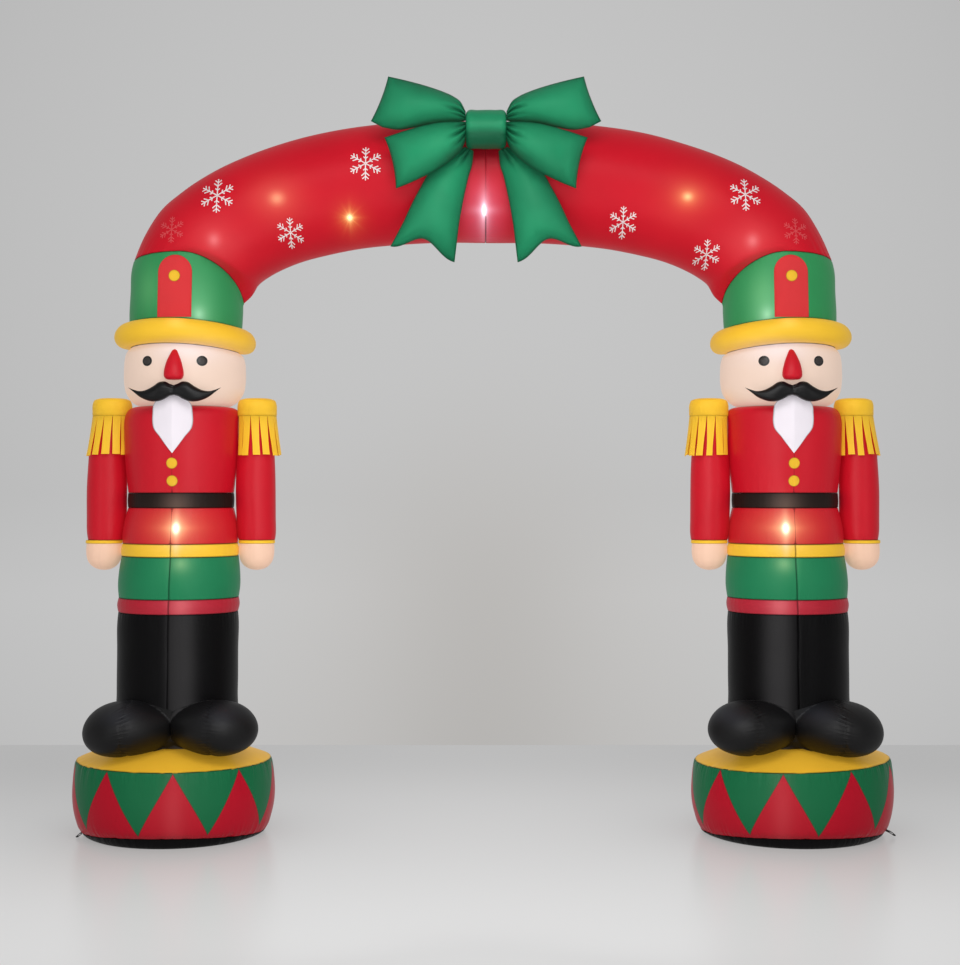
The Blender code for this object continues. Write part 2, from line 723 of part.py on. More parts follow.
def puff(name, way, table, end, hollow, across=8, notch=False):
    """An inflated, pointed piece: two skins sewn round the edge, fullest along the middle.
    Its far end runs between two corners and draws in, as a hollow or as a swallow-tail notch."""
    top_x, top_z, low_x, low_z, end_depth = end
    pull_in, deepest = hollow
    bend = math.log(deepest) / math.log(0.5)
    shares = [(k / across) ** bend for k in range(across + 1)]
    grid = []
    for tx, tz, bx, bz, half, depth in table:
        grid.append(
            [
                (tx + (bx - tx) * v, tz + (bz - tz) * v, half * math.sin(math.pi * v) ** 0.62, depth)
                for v in shares
            ]
        )
    length = math.hypot(low_x - top_x, low_z - top_z)
    back_x, back_z = (top_z - low_z) / length, (low_x - top_x) / length
    if back_x * (table[0][0] - top_x) + back_z * (table[0][1] - top_z) < 0:
        back_x, back_z = -back_x, -back_z
    edge = []
    for v in shares:
        if notch:
            share = min(v / deepest, (1 - v) / (1 - deepest)) ** NOTCH_POWER
            pull = pull_in * share * share * (3 - 2 * share)
        else:
            pull = pull_in * (1 - (2 * v - 1) ** 2)
        x = top_x + (low_x - top_x) * v + back_x * pull
        z = top_z + (low_z - top_z) * v + back_z * pull
        edge.append((x, z, 0.0, end_depth))
    grid.append(edge)
    points, front, back = [], [], []
    ends = len(grid) - 1
    for i, row in enumerate(grid):
        front_row, back_row = [], []
        for k, (x, z, half, depth) in enumerate(row):
            place = BOW_OUT + way * x
            points.append((place, depth - half, z))
            front_row.append(len(points) - 1)
            if 0 < k < across and i < ends:
                points.append((place, depth + half, z))
            back_row.append(len(points) - 1)
        front.append(front_row)
        back.append(back_row)
    faces = []
    for i in range(ends):
        for k in range(across):
            for skin in (front, back):
                a, b, c, d = skin[i][k], skin[i][k + 1], skin[i + 1][k + 1], skin[i + 1][k]
                if i == ends - 1 and k == 0:  # the pointed corners fan from the skin's last high point
                    faces += [(a, b, d), (b, c, d)]
                elif i == ends - 1 and k == across - 1:
                    faces += [(a, b, c), (a, c, d)]
                else:
                    faces.append((a, b, c, d))
    faces += [
        (front[0][k], front[0][k + 1], back[0][k + 1], back[0][k])
        if 0 < k < across - 1
        else tuple(dict.fromkeys((front[0][k], front[0][k + 1], back[0][k + 1], back[0][k])))
        for k in range(across)
    ]
    make(name, "green", (points, faces))


def bow():
    depth, height = KNOT_MIDDLE
    rings = []
    for way in (-1, 1):
        for sideways, tall, deep in (KNOT if way < 0 else KNOT[::-1]):
            rings.append(
                [
                    (BOW_OUT + way * sideways, depth + deep * math.cos(a), height + tall * math.sin(a))
                    for a in circle(KNOT_SIDES)
                ]
            )
    make("bow_knot", "green", loft(rings))
    for name, way in (("left", -1), ("right", 1)):
        puff(f"bow_upper_loop_{name}", way, UPPER_LOOP, UPPER_LOOP_END, UPPER_LOOP_HOLLOW)
        puff(f"bow_lower_loop_{name}", way, LOWER_LOOP, LOWER_LOOP_END, LOWER_LOOP_HOLLOW)
        puff(f"bow_tail_{name}", way, TAIL, TAIL_END, TAIL_HOLLOW, notch=True)


clear_scene()
for prefix, side in (("left_", -1), ("right_", 1)):
    soldier(prefix, side)
arch()
bow()
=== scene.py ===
"""Looks of the inflatable archway: stitched nylon skins, a fringed trim, prints, lamp light
glowing through the cloth, and painted shade, highlights, sheen and reflections, in a plain grey
studio. Metres, +Z up, the front faces -Y. As in the solids, a soldier's sizes are written for
the right-hand one, where "out" is the distance from the arch's middle plane, and the left-hand
soldier is its mirror image."""

import math

import bmesh
import bpy
import numpy as np
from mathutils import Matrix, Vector
from mathutils.bvhtree import BVHTree


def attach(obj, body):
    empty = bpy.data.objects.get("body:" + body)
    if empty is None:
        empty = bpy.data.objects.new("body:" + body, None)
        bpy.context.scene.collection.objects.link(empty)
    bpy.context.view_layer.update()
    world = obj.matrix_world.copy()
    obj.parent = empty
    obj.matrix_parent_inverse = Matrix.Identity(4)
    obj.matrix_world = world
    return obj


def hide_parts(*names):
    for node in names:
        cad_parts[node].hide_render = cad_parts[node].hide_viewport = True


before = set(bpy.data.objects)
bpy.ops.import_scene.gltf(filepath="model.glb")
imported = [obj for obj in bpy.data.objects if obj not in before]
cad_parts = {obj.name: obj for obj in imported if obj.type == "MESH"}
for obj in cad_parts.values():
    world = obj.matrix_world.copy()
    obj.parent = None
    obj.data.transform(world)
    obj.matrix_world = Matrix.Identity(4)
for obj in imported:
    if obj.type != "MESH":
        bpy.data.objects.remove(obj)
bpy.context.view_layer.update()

# ---------------------------------------------------------------- sizes shared with the solids
# Each soldier tips in a little towards the arch as it rises: height, out
LEAN = [
    (0.0, 1.1494), (0.275, 1.1494), (0.345, 1.14), (0.82, 1.1345), (1.0, 1.128), (1.2, 1.124),
    (1.53, 1.1215), (1.6, 1.11), (1.85, 1.1086), (1.9, 1.106), (2.12, 1.0935),
]
DRUM_OUT = LEAN[0][1]
DRUM_TILT = {-1: 0.006, 1: 0.03}
# Drum base: share of the foot seam's height, radius
DRUM_BASE = [(0.0, 0.311), (0.2, 0.3215), (0.55, 0.3305), (1.0, 0.336)]
FOOT_SEAM = (0.01, 0.029, 1.5)  # height at the drum's sides, rise to its front and back, power
DRUM_CURL = (0.45, 0.35)  # share of the way from the foot seam to the side's first height, radius
DOME_RADIUS = 0.356
DOME_FOOT = 0.278
DOME_RISE = 0.0768
# Turned pieces: height, radius
DRUM_SIDE = [
    (0.065, 0.359), (0.1, 0.367), (0.15, 0.3717), (0.2, 0.37), (0.245, 0.3655), (0.272, 0.36),
    (0.2776, 0.3575),
]
LEGS = [
    (0.345, 0.2), (0.365, 0.212), (0.395, 0.22), (0.526, 0.2225), (0.686, 0.2225), (0.796, 0.2225),
    (0.8232, 0.22),
]
RED_BAND = [(0.8236, 0.2205), (0.85, 0.225), (0.8764, 0.2205)]
GREEN_BAND = [(0.8768, 0.2205), (0.916, 0.2245), (0.976, 0.222), (1.03, 0.215)]
YELLOW_BAND = [(1.0304, 0.215), (1.054, 0.2165), (1.077, 0.212)]
SKIRT = [(1.0774, 0.212), (1.106, 0.213), (1.156, 0.207), (1.209, 0.194)]
BELT = [(1.2094, 0.1945), (1.236, 0.196), (1.2628, 0.1945)]
TUNIC = [
    (1.2632, 0.194), (1.306, 0.1985), (1.386, 0.2065), (1.466, 0.2095), (1.531, 0.21),
    (1.556, 0.2075), (1.571, 0.199), (1.5785, 0.185), (1.581, 0.164),
]
HEAD = [
    (1.5814, 0.156), (1.591, 0.181), (1.608, 0.2), (1.636, 0.2165), (1.671, 0.223), (1.716, 0.224),
    (1.756, 0.2215), (1.786, 0.214), (1.8051, 0.196),
]
HAND = [
    (1.0878, 0.0625), (1.066, 0.0655), (1.036, 0.065), (1.011, 0.059), (0.991, 0.044),
    (0.98, 0.024), (0.9765, 0.004),
]
EPAULETTE_CAP = [
    (1.546, 0.069), (1.55, 0.0718), (1.566, 0.0728), (1.591, 0.0722), (1.605, 0.068),
    (1.6125, 0.052), (1.615, 0.02),
]
BODY = YELLOW_BAND + SKIRT + BELT + TUNIC
BRIM_HEIGHT = 1.85
BRIM_ROLL = 0.044
BRIM_RADIUS = 0.2594
BRIM_TILT = 0.038
BRIM_DROOP = 0.022
HAT_FOOT_RADIUS = 0.207
HAT_WAIST_RADIUS = 0.2085
HAT_TOP_RADIUS = 0.204
HAT_SEAM_CREST = 2.137
HAT_SEAM_DROP = (0.0252, 0.1695)
# Sleeves: height, outer arm's out, inner arm's out, radius; the body presses them flat
SLEEVE = [
    (1.0882, 1.404, 0.8425, 0.067), (1.106, 1.4035, 0.843, 0.07), (1.17, 1.402, 0.845, 0.0728),
    (1.236, 1.401, 0.8466, 0.0742), (1.31, 1.3995, 0.847, 0.0732), (1.386, 1.3985, 0.8465, 0.0705),
    (1.486, 1.3935, 0.845, 0.064), (1.5456, 1.3865, 0.843, 0.06),
]
HAND_OUT = (1.411, 0.843)
EPAULETTE_OUT = (1.3805, 0.8412)
STRIP_COUNT = 14
STRIP_SWING = {"outer": 0.0105, "inner": 0.006}
STRIP_FOOT = 1.404
FOOT_SIZE = (0.196, 0.148, 0.1075)
FOOT_PLACE = (0.1375, -0.165, 0.4155)
FEET_OUT = 1.125
FOOT_SPLAY = math.radians(40)
FOOT_DROOP = {"outer": 0.022, "inner": 0.006}
FOOT_FULLNESS = 2.35
FOOT_TAPER = (0.92, 0.08)
# Moustache: sideways, top, bottom, half-depth, depth of its middle
MOUSTACHE = [
    (0.0, 1.653, 1.613, 0.021, -0.2373), (0.012, 1.655, 1.612, 0.0225, -0.2382),
    (0.029, 1.6631, 1.6028, 0.0245, -0.239), (0.05, 1.662, 1.5938, 0.025, -0.2395),
    (0.075, 1.646, 1.5916, 0.023, -0.2375), (0.101, 1.6333, 1.5974, 0.0185, -0.234),
    (0.126, 1.6297, 1.61, 0.0115, -0.23), (0.144, 1.634, 1.6243, 0.006, -0.227),
    (0.168, 1.643, 1.643, 0.0004, -0.224),
]
# Nose: height, half-width, half-depth
NOSE = [
    (1.7813, 0.001, 0.001), (1.7777, 0.0075, 0.005), (1.7698, 0.012, 0.0085),
    (1.7573, 0.018, 0.013), (1.7394, 0.0255, 0.019), (1.7179, 0.0315, 0.0245),
    (1.6964, 0.0355, 0.0285), (1.6821, 0.035, 0.029), (1.6732, 0.029, 0.024),
    (1.6696, 0.006, 0.005),
]
# Beard: height, half-width, depth of its middle crease, depth of the edge
BEARD = [
    (1.625, 0.046, -0.2142, -0.2093), (1.608, 0.05, -0.2165, -0.211),
    (1.581, 0.069, -0.2205, -0.204), (1.551, 0.0725, -0.221, -0.201),
    (1.521, 0.0735, -0.2215, -0.2007), (1.501, 0.07, -0.222, -0.2017),
    (1.466, 0.045, -0.221, -0.2092), (1.436, 0.023, -0.218, -0.213), (1.408, 0.001, -0.214, -0.214),
]
# Tube: outer out, outer height, inner out, inner height
ARCH_SECTIONS = [
    (1.208, 2.294, 0.838, 2.04), (1.115, 2.381, 0.795, 2.072), (1.004, 2.453, 0.739, 2.101),
    (0.867, 2.517, 0.666, 2.129), (0.718, 2.568, 0.572, 2.153), (0.558, 2.606, 0.465, 2.173),
    (0.383, 2.631, 0.329, 2.1875), (0.196, 2.641, 0.175, 2.1955),
]
ARCH_SWELL = 1.03
ARCH_CROWN = (2.643, 2.1965)
CROWN_SEAM = 0.01
BOW_OUT = 0.011
KNOT_MIDDLE = (-0.2612, 2.563)  # depth, height
KNOT = [(0.0725, 0.057, 0.06), (0.065, 0.066, 0.069), (0.032, 0.068, 0.072)]
# Bow pieces: top sideways, top height, bottom sideways, bottom height, half-depth, depth
UPPER_LOOP = [
    (0.073, 2.627, 0.073, 2.594, 0.024, -0.2642), (0.09, 2.66, 0.096, 2.589, 0.036, -0.2642),
    (0.116, 2.68, 0.14, 2.585, 0.044, -0.2642), (0.153, 2.697, 0.196, 2.58, 0.049, -0.2652),
    (0.208, 2.716, 0.256, 2.569, 0.049, -0.2652), (0.272, 2.734, 0.317, 2.561, 0.041, -0.2642),
    (0.319, 2.7455, 0.37, 2.57, 0.025, -0.2632),
]
UPPER_LOOP_END = (0.35, 2.7525, 0.412, 2.5925, -0.262)
UPPER_LOOP_HOLLOW = (0.0055, 0.5)
LOWER_LOOP = [
    (0.073, 2.587, 0.073, 2.518, 0.028, -0.2792), (0.102, 2.585, 0.09, 2.48, 0.037, -0.2922),
    (0.142, 2.582, 0.128, 2.442, 0.043, -0.3022), (0.19, 2.576, 0.178, 2.408, 0.044, -0.3042),
    (0.242, 2.5645, 0.228, 2.3845, 0.039, -0.3002), (0.299, 2.549, 0.275, 2.364, 0.025, -0.2932),
]
LOWER_LOOP_END = (0.362, 2.5285, 0.321, 2.3465, -0.289)
LOWER_LOOP_HOLLOW = (0.009, 0.5)
TAIL = [
    (0.077, 2.502, 0.044, 2.4865, 0.0105, -0.2568), (0.13, 2.474, 0.05, 2.44, 0.014, -0.2384),
    (0.196, 2.423, 0.061, 2.404, 0.017, -0.2404), (0.237, 2.356, 0.0735, 2.35, 0.022, -0.2444),
    (0.269, 2.295, 0.086, 2.289, 0.026, -0.2454), (0.296, 2.236, 0.097, 2.226, 0.022, -0.2444),
]
TAIL_END = (0.343, 2.1475, 0.113, 2.0905, -0.2425)
TAIL_HOLLOW = (0.0546, 0.459)
NOTCH_POWER = 1.1
# Tethers: out beyond the drum's centreline, height of the middle, thickness of the doubled webbing
STRAP = [
    (0.32, 0.0265, 0.0034), (0.334, 0.0235, 0.0056), (0.345, 0.0185, 0.008), (0.354, 0.0125, 0.009),
    (0.359, 0.0095, 0.0055),
]
STRAP_SHIFT = {-1: (-0.02, -0.005), 1: (0.0, 0.0)}  # how each tether lies off that
STRAP_DEPTH = -0.1
STRAP_HALF_WIDTH = 0.0125
WEBBING = 0.0022  # thickness of one layer

# ---------------------------------------------------------------- sizes of the fine work
GAP = 0.0004
REST = 0.0009
STEP = 0.008  # spacing of the rows along a skin
END_ROWS = (0.0005, 0.0013, 0.0026, 0.0045)  # closer rows beside a seam
ROLL = 0.0026  # radius with which a skin turns in to its seam
FRONT_AND_BACK = (1.5 * math.pi, 0.5 * math.pi)
FOOT_SEAM_OUT = {"outer": 1.276, "inner": 0.979}  # out to the seam that runs over each shoe
LEG_SEAM = (0.006, 0.005)  # depth and half-width of the crease down front and back
CREASE_WANDER = 0.0015  # how far a crease strays from its seam
BODY_RADIUS = 0.22  # what lengthwise seams are measured at
THREAD_PITCH = 0.0006
TRIANGLES = 9  # red triangles round each drum
PATTERN_FOOT = 0.0509  # height of their base line
DRUM_TURN = {"left_": 9.1, "right_": -14.6}  # degrees from the front to a red point
CUFF = [(1.0882, 0.064), (1.0876, 0.0668), (1.083, 0.0676), (1.0765, 0.0674), (1.0756, 0.065)]
EPAULETTE_SEAM = 1.5475  # height of the stitch round each epaulette
EPAULETTE_FLUTE = (1.602, 0.004, 0.0012)  # the groove round its top: height, reach, depth
STRIP_TOP = (1.549, 0.0716)  # height, radius
STRIP_FLARE = 0.013
STRIP_EDGE = 12.2  # half of a strip's width at its root, in degrees
# How far round its outline, from edge to edge and back, a strip stands off its radius
STRIP_SECTION = np.array([0.0, 0.0006, 0.0, -0.0021, -0.0015, -0.0021])
# What each strip's drop, twist, flare and taper are drawn between
STRIP_SPANS = ((-0.004, 0.004), (-0.05, 0.05), (-0.002, 0.004), (2.4, 4.6))
EYE = (0.099, 1.74, 0.0185)  # sideways from the face's middle, height, radius
BUTTONS = ((1.371, "upper"), (1.307, "lower"))
BUTTON_RADIUS = 0.02
PANEL = (0.062, 2.123, 1.899)  # half-width, top, foot
PANEL_SHIFT = 0.012  # how far the panel and its dot sit outwards of the hat's middle
HAT_DOT = (2.047, 0.0205)  # height, radius
NOSE_BACK = 0.55  # how much flatter its back is than its front
BEARD_THICKNESS = 0.0014
PATCH_SINK = 0.0015  # how deep a print's underside lies in its host
# Snowflakes on the tube: sideways, height, radius
SNOWFLAKES = [
    (-0.96, 2.338, 0.066), (-0.423, 2.45, 0.062), (-0.698, 2.207, 0.051), (0.947, 2.341, 0.062),
    (0.508, 2.246, 0.053), (0.813, 2.131, 0.05),
]
FAINT_SNOWFLAKES = [(-1.125, 2.215, 0.05), (1.13, 2.21, 0.05)]
# How a skin is made: row spacing, gathers at its seams (end, number, depth, reach, width as a share
# of the round, seed), slow swell (depth, size, seed) and radius of its rolled ends
CLOTH = {
    "drum_base": (0.006, [(1, 60, 0.003, 0.018, 0.0035, 11)], None, None),
    "drum_side": (
        0.0055,
        [(1, 46, 0.0052, 0.03, 0.004, 13), (0, 40, 0.006, 0.026, 0.005, 15)],
        (0.001, 0.16, 11),
        0.005,
    ),
    "head": (
        0.007,
        [(0, 34, 0.003, 0.026, 0.0065, 71), (1, 30, 0.0026, 0.022, 0.0065, 73)],
        (0.0012, 0.15, 75),
        None,
    ),
    "brim": (
        0.006,
        [(0, 40, 0.0022, 0.03, 0.006, 81), (1, 36, 0.0022, 0.026, 0.006, 83)],
        (0.0014, 0.12, 85),
        None,
    ),
    "hat": (
        0.008,
        [(0, 24, 0.0022, 0.03, 0.008, 87), (1, 22, 0.0016, 0.026, 0.008, 89)],
        (0.0012, 0.14, 91),
        ROLL,
    ),
    "tube": (
        0.014,
        [(0, 30, 0.0026, 0.045, 0.006, 111), (1, 26, 0.0022, 0.04, 0.006, 113)],
        (0.0018, 0.22, 111),
        0.004,
    ),
    "knot": (
        0.005,
        [(0, 12, 0.0035, 0.02, 0.02, 131), (1, 12, 0.0035, 0.02, 0.02, 133)],
        (0.0016, 0.08, 135),
        0.006,
    ),
}
# Body pieces: name, sizes, columns, material, slot, seed, creased, gathers, how much finer than a
# crease the lengthwise seams show (0: they don't)
STACK = (
    ("red_band", RED_BAND, 160, "band_nylon", "red_fabric", 2, True, 0, 1.0),
    ("green_band", GREEN_BAND, 160, "green_nylon", "green_fabric", 3, True, 0, 1.0),
    ("yellow_band", YELLOW_BAND, 160, "yellow_nylon", "yellow_fabric", 4, True, 0, 1.0),
    ("skirt", SKIRT, 160, "red_nylon", "red_fabric", 6, False, 0, 3.5),
    ("belt", BELT, 128, "belt_nylon", "belt_fabric", 7, False, 0, 0),
    ("tunic", TUNIC, 192, "red_nylon", "red_fabric", 8, False, 26, 3.5),
)
# Pleats of each bow piece: where across it, how deep, how far out along it, how wide (share)
UPPER_PLEATS = [(0.22, 0.02, 0.07, 0.045), (0.5, 0.03, 0.105, 0.05), (0.76, 0.022, 0.075, 0.04)]
LOWER_PLEATS = [(0.15, 0.018, 0.07, 0.04), (0.4, 0.028, 0.1, 0.048), (0.66, 0.024, 0.085, 0.045)]
TAIL_PLEATS = [(0.34, 0.012, 0.08, 0.07), (0.6, 0.017, 0.11, 0.065)]
# Bow pieces: name, sizes, far end, its hollow, pleats, shade at the root, shade along the lower
# edge, seed
BOW = (
    ("upper_loop", UPPER_LOOP, UPPER_LOOP_END, UPPER_LOOP_HOLLOW, UPPER_PLEATS, 0.0, 0.08, 141),
    ("lower_loop", LOWER_LOOP, LOWER_LOOP_END, LOWER_LOOP_HOLLOW, LOWER_PLEATS, 0.2, 0.72, 151),
    ("tail", TAIL, TAIL_END, TAIL_HOLLOW, TAIL_PLEATS, 0.8, 0.0, 161),
)
BOW_COLUMNS = 48  # across each bow piece
BOW_END_ROWS = 14  # along its hollow or notched end
KNOT_LOW = (2.56, 0.024, 0.74)  # height where its underside shade begins, how soon, how dark
# Shade on the tube under the knot: share, half-width, height, reach
KNOT_SHADE = (0.6, 0.11, 2.49, 0.075)

# ---------------------------------------------------------------- lamp glow through the skins, and painted highlights, sheen and reflections
# Where each lamp shines through: sideways, height
COAT_LAMPS = ((-1.107, 1.136), (1.092, 1.136))
CROWN_LAMP = (0.004, 2.288)
# What it shows, as soft spots: half-width, half-height, fall-off power, colour
COAT_SPOTS = (
    (0.0105, 0.016, 2.0, (1.5, 1.45, 1.25)), (0.027, 0.036, 1.6, (0.5, 0.5, 0.25)),
    (0.085, 0.056, 1.6, (0.24, 0.135, 0.055)), (0.01, 0.056, 1.4, (0.34, 0.32, 0.2)),
    (0.042, 0.01, 1.4, (0.2, 0.17, 0.07)),
)
CROWN_SPOTS = (
    (0.008, 0.019, 2.0, (1.0, 1.05, 1.05)), (0.017, 0.042, 1.5, (0.3, 0.4, 0.48)),
    (0.064, 0.1, 1.8, (0.18, 0.085, 0.13)), (0.036, 0.012, 1.4, (0.2, 0.22, 0.26)),
    (0.009, 0.065, 1.3, (0.18, 0.18, 0.2)),
)
STAR_SPOTS = (
    (0.0095, 0.0095, 2.0, (0.95, 1.1, 0.65)), (0.019, 0.019, 1.5, (0.32, 0.34, 0.08)),
    (0.042, 0.042, 1.5, (0.18, 0.07, 0.02)), (0.02, 0.003, 1.2, (0.2, 0.2, 0.06)),
    (0.003, 0.022, 1.2, (0.24, 0.22, 0.07)),
)
PEACH_SPOTS = ((0.023, 0.02, 1.8, (0.28, 0.28, 0.14)), (0.078, 0.064, 1.6, (0.18, 0.075, 0.045)))
AMBER_SPOTS = (
    (0.015, 0.013, 2.0, (0.22, 0.42, 0.19)), (0.031, 0.027, 1.6, (0.22, 0.2, 0.06)),
    (0.074, 0.06, 1.5, (0.19, 0.07, 0.035)),
)
# Rays of the star: count, turn, length, colour
STAR_RAYS = ((9, 0.4, 0.015, (0.26, 0.2, 0.05)), (14, 1.9, 0.012, (0.24, 0.18, 0.04)))


# Spots round each place: a lamp shining through, or a painted highlight, sheen or reflection
def glows_and_painted_light(places, *spots, tint=(1.0, 1.0, 1.0)):
    return [(where, spots, tint) for where in places]


COAT_GLOWS = glows_and_painted_light(COAT_LAMPS, *COAT_SPOTS)
# The belt takes the coat lamp glow, then a painted highlight over its middle
BELT_GLOWS_AND_PAINTED_HIGHLIGHT = glows_and_painted_light(COAT_LAMPS, *COAT_SPOTS, tint=(0.16, 0.12, 0.11)) + glows_and_painted_light(
    ((-1.107, 1.22), (1.092, 1.22)),
    (0.048, 0.05, 2.0, (0.085, 0.055, 0.045)),
    (0.2, 0.06, 2.0, (0.008, 0.005, 0.004)),
)
YELLOW_GLOWS_AND_PAINTED_LIGHT = glows_and_painted_light(COAT_LAMPS, *COAT_SPOTS, tint=(0.6, 1.1, 3.4))
# Painted highlight on the front of each brim
YELLOW_GLOWS_AND_PAINTED_LIGHT += glows_and_painted_light(((-1.1, 1.878), (1.095, 1.878)), (0.032, 0.02, 2.0, (0.28, 0.12, 0.055)))
# Painted reflection of the face, bluish, on each brim's underside
YELLOW_GLOWS_AND_PAINTED_LIGHT += glows_and_painted_light(((-1.035, 1.796), (1.04, 1.796)), (0.13, 0.024, 2.0, (0.0, 0.02, 0.12)))
GREEN_GLOWS = glows_and_painted_light(
    ((-1.09, 1.008), (1.085, 1.008)),
    (0.028, 0.026, 1.6, (0.15, 0.18, 0.09)),
    (0.062, 0.07, 1.8, (0.02, 0.05, 0.022)),
)
BAND_GLOWS = glows_and_painted_light(
    ((-1.09, 0.853), (1.07, 0.853)),
    (0.038, 0.06, 2.0, (0.15, 0.07, 0.07)),
    (0.11, 0.06, 2.0, (0.05, 0.016, 0.022)),
)
TUBE_GLOWS = glows_and_painted_light(
    ((-0.968, 2.174), (0.97, 2.17)),
    (0.019, 0.022, 1.8, (0.13, 0.12, 0.12)),
    (0.08, 0.07, 1.5, (0.15, 0.045, 0.042)),
)
TUBE_GLOWS += glows_and_painted_light([(-0.742, 2.324)], *PEACH_SPOTS) + glows_and_painted_light([(0.737, 2.33)], *AMBER_SPOTS)
TUBE_GLOWS += glows_and_painted_light([CROWN_LAMP], *CROWN_SPOTS)
TUBE_GLOWS += [((-0.483, 2.261), STAR_SPOTS, (1.0, 1.0, 1.0), STAR_RAYS)]
HAT_GLOWS_AND_PAINTED_HIGHLIGHT = glows_and_painted_light(
    ((-1.027, 1.908), (1.027, 1.908)),
    (0.02, 0.026, 1.6, (0.22, 0.28, 0.23)),
    (0.056, 0.13, 2.0, (0.08, 0.15, 0.09)),
)
# Painted highlight on one side of each hat
HAT_GLOWS_AND_PAINTED_HIGHLIGHT += glows_and_painted_light(((-1.21, 2.0), (1.01, 1.99)), (0.045, 0.08, 2.0, (0.04, 0.07, 0.03)))
FACE_GLOWS = glows_and_painted_light(((-1.065, 1.795), (1.06, 1.795)), (0.12, 0.056, 2.0, (0.06, 0.13, 0.23)))
# Painted highlight down the front of the legs
LEG_PAINTED_HIGHLIGHT = glows_and_painted_light(((-1.09, 0.66), (1.065, 0.66)), (0.052, 0.52, 3.0, (0.024, 0.023, 0.0236)))
# Painted sheen on the top of each shoe
SHOE_PAINTED_SHEEN = glows_and_painted_light(
    ((-1.29, 0.471), (-0.927, 0.473), (0.878, 0.471), (1.204, 0.471)),
    (0.056, 0.03, 2.0, (0.012, 0.013, 0.0165)),
)
# Painted highlight down the front of each drum
DRUM_PAINTED_HIGHLIGHT = glows_and_painted_light(
    ((-1.09, 0.16), (1.054, 0.16)),
    (0.034, 0.15, 2.0, (0.034, 0.015, 0.015)),
    (0.13, 0.15, 2.0, (0.008, 0.01, 0.008)),
)

RED = (0.47, 0.005, 0.015)
BAND_RED = (0.34, 0.009, 0.021)
PANEL_RED = (0.54, 0.026, 0.03)
GREEN = (0.012, 0.16, 0.066)
HAT_GREEN = (0.024, 0.205, 0.068)
BOW_GREEN = (0.016, 0.265, 0.118)
YELLOW = (0.72, 0.425, 0.026)
DRUM_YELLOW = (0.72, 0.4, 0.028)
CREAM = (0.455, 0.345, 0.282)
HAND_CREAM = (0.52, 0.34, 0.248)
BLACK = (0.003, 0.0028, 0.0032)
BELT_BLACK = (0.008, 0.0045, 0.004)
WHITE = (0.74, 0.69, 0.74)
DRUM_RED = (0.43, 0.0045, 0.018)
DRUM_GREEN = (0.007, 0.13, 0.048)
DRUM_BORDER = (0.03, 0.012, 0.01)


# ---------------------------------------------------------------- materials
def fill(tree, node, inputs):
    """Sets a node's inputs, each to a number, a colour or what a field or socket gives."""
    for place, value in inputs.items():
        socket, value = node.inputs[place], getattr(value, "socket", value)
        if isinstance(value, bpy.types.NodeSocket):
            tree.links.new(value, socket)
        else:
            socket.default_value = (*value, 1.0) if socket.type == "RGBA" else value
    return node


def add(tree, kind, inputs=(), **settings):
    node = tree.nodes.new("ShaderNode" + kind)
    for name, value in settings.items():
        setattr(node, name, value)
    return fill(tree, node, dict(inputs))


class Field:
    """A number that varies over a surface, worked out by shader nodes."""

    def __init__(self, tree, socket):
        self.tree, self.socket = tree, socket

    def math(self, operation, *others):
        inputs = enumerate((self, *others))
        return Field(self.tree, add(self.tree, "Math", inputs, operation=operation).outputs[0])

    def __add__(self, other):
        return self.math("ADD", other)

    def __sub__(self, other):
        return self.math("SUBTRACT", other)

    def __mul__(self, other):
        return self.math("MULTIPLY", other)

    def __truediv__(self, other):
        return self.math("DIVIDE", other)

    def clipped(self):
        return self.math("MINIMUM", 1.0).math("MAXIMUM", 0.0)

    def fade(self, reach, power=1.0):
        """1 here, falling away as exp(-(x / reach) ** power)."""
        share = self.math("ABSOLUTE") / reach
        return (share.math("POWER", power) * -1.0).math("EXPONENT")

    def step(self, edge, soft):
        """0 below edge and 1 above it, through a soft rim."""
        return ((self - edge) / soft + 0.5).clipped()


def coordinates(tree, kind="Object"):
    return add(tree, "TexCoord").outputs[kind]


def split(tree, vector):
    return [Field(tree, socket) for socket in add(tree, "SeparateXYZ", {0: vector}).outputs]


def noise(tree, scale, detail=2.0, vector=None):
    inputs = {"Scale": scale, "Detail": detail, "Vector": vector or coordinates(tree)}
    return Field(tree, add(tree, "TexNoise", inputs).outputs[0])


def attribute(tree, name):
    return Field(tree, add(tree, "Attribute", attribute_name=name).outputs["Fac"])


def stretched_uv(tree, across=1.0, along=1.0):
    """The skin's own coordinates in metres, scaled so that noise runs in streaks."""
    uv = add(tree, "UVMap", uv_map="cloth").outputs[0]
    return add(tree, "Mapping", {"Vector": uv, "Scale": (across, along, 1.0)}).outputs[0]


def mixed(tree, share, first, second):
    """Colour between first and second, each a colour or a socket."""
    return add(tree, "Mix", {0: share, 6: first, 7: second}, data_type="RGBA").outputs[2]


def scaled(tree, colour, share):
    return add(tree, "VectorMath", {0: colour, "Scale": share}, operation="SCALE").outputs[0]


def bumped(tree, height):
    inputs = {"Strength": 1.0, "Distance": 1.0, "Height": height}
    return add(tree, "Bump", inputs).outputs[0]


def times(colour, share):
    return tuple(c * share for c in colour)


def weave(tree):
    """Plain-weave threads, from the skin's own coordinates."""
    u, v, _ = split(tree, stretched_uv(tree))
    turns = 2 * math.pi / THREAD_PITCH
    return (u * turns).math("SINE") * (v * turns).math("SINE")


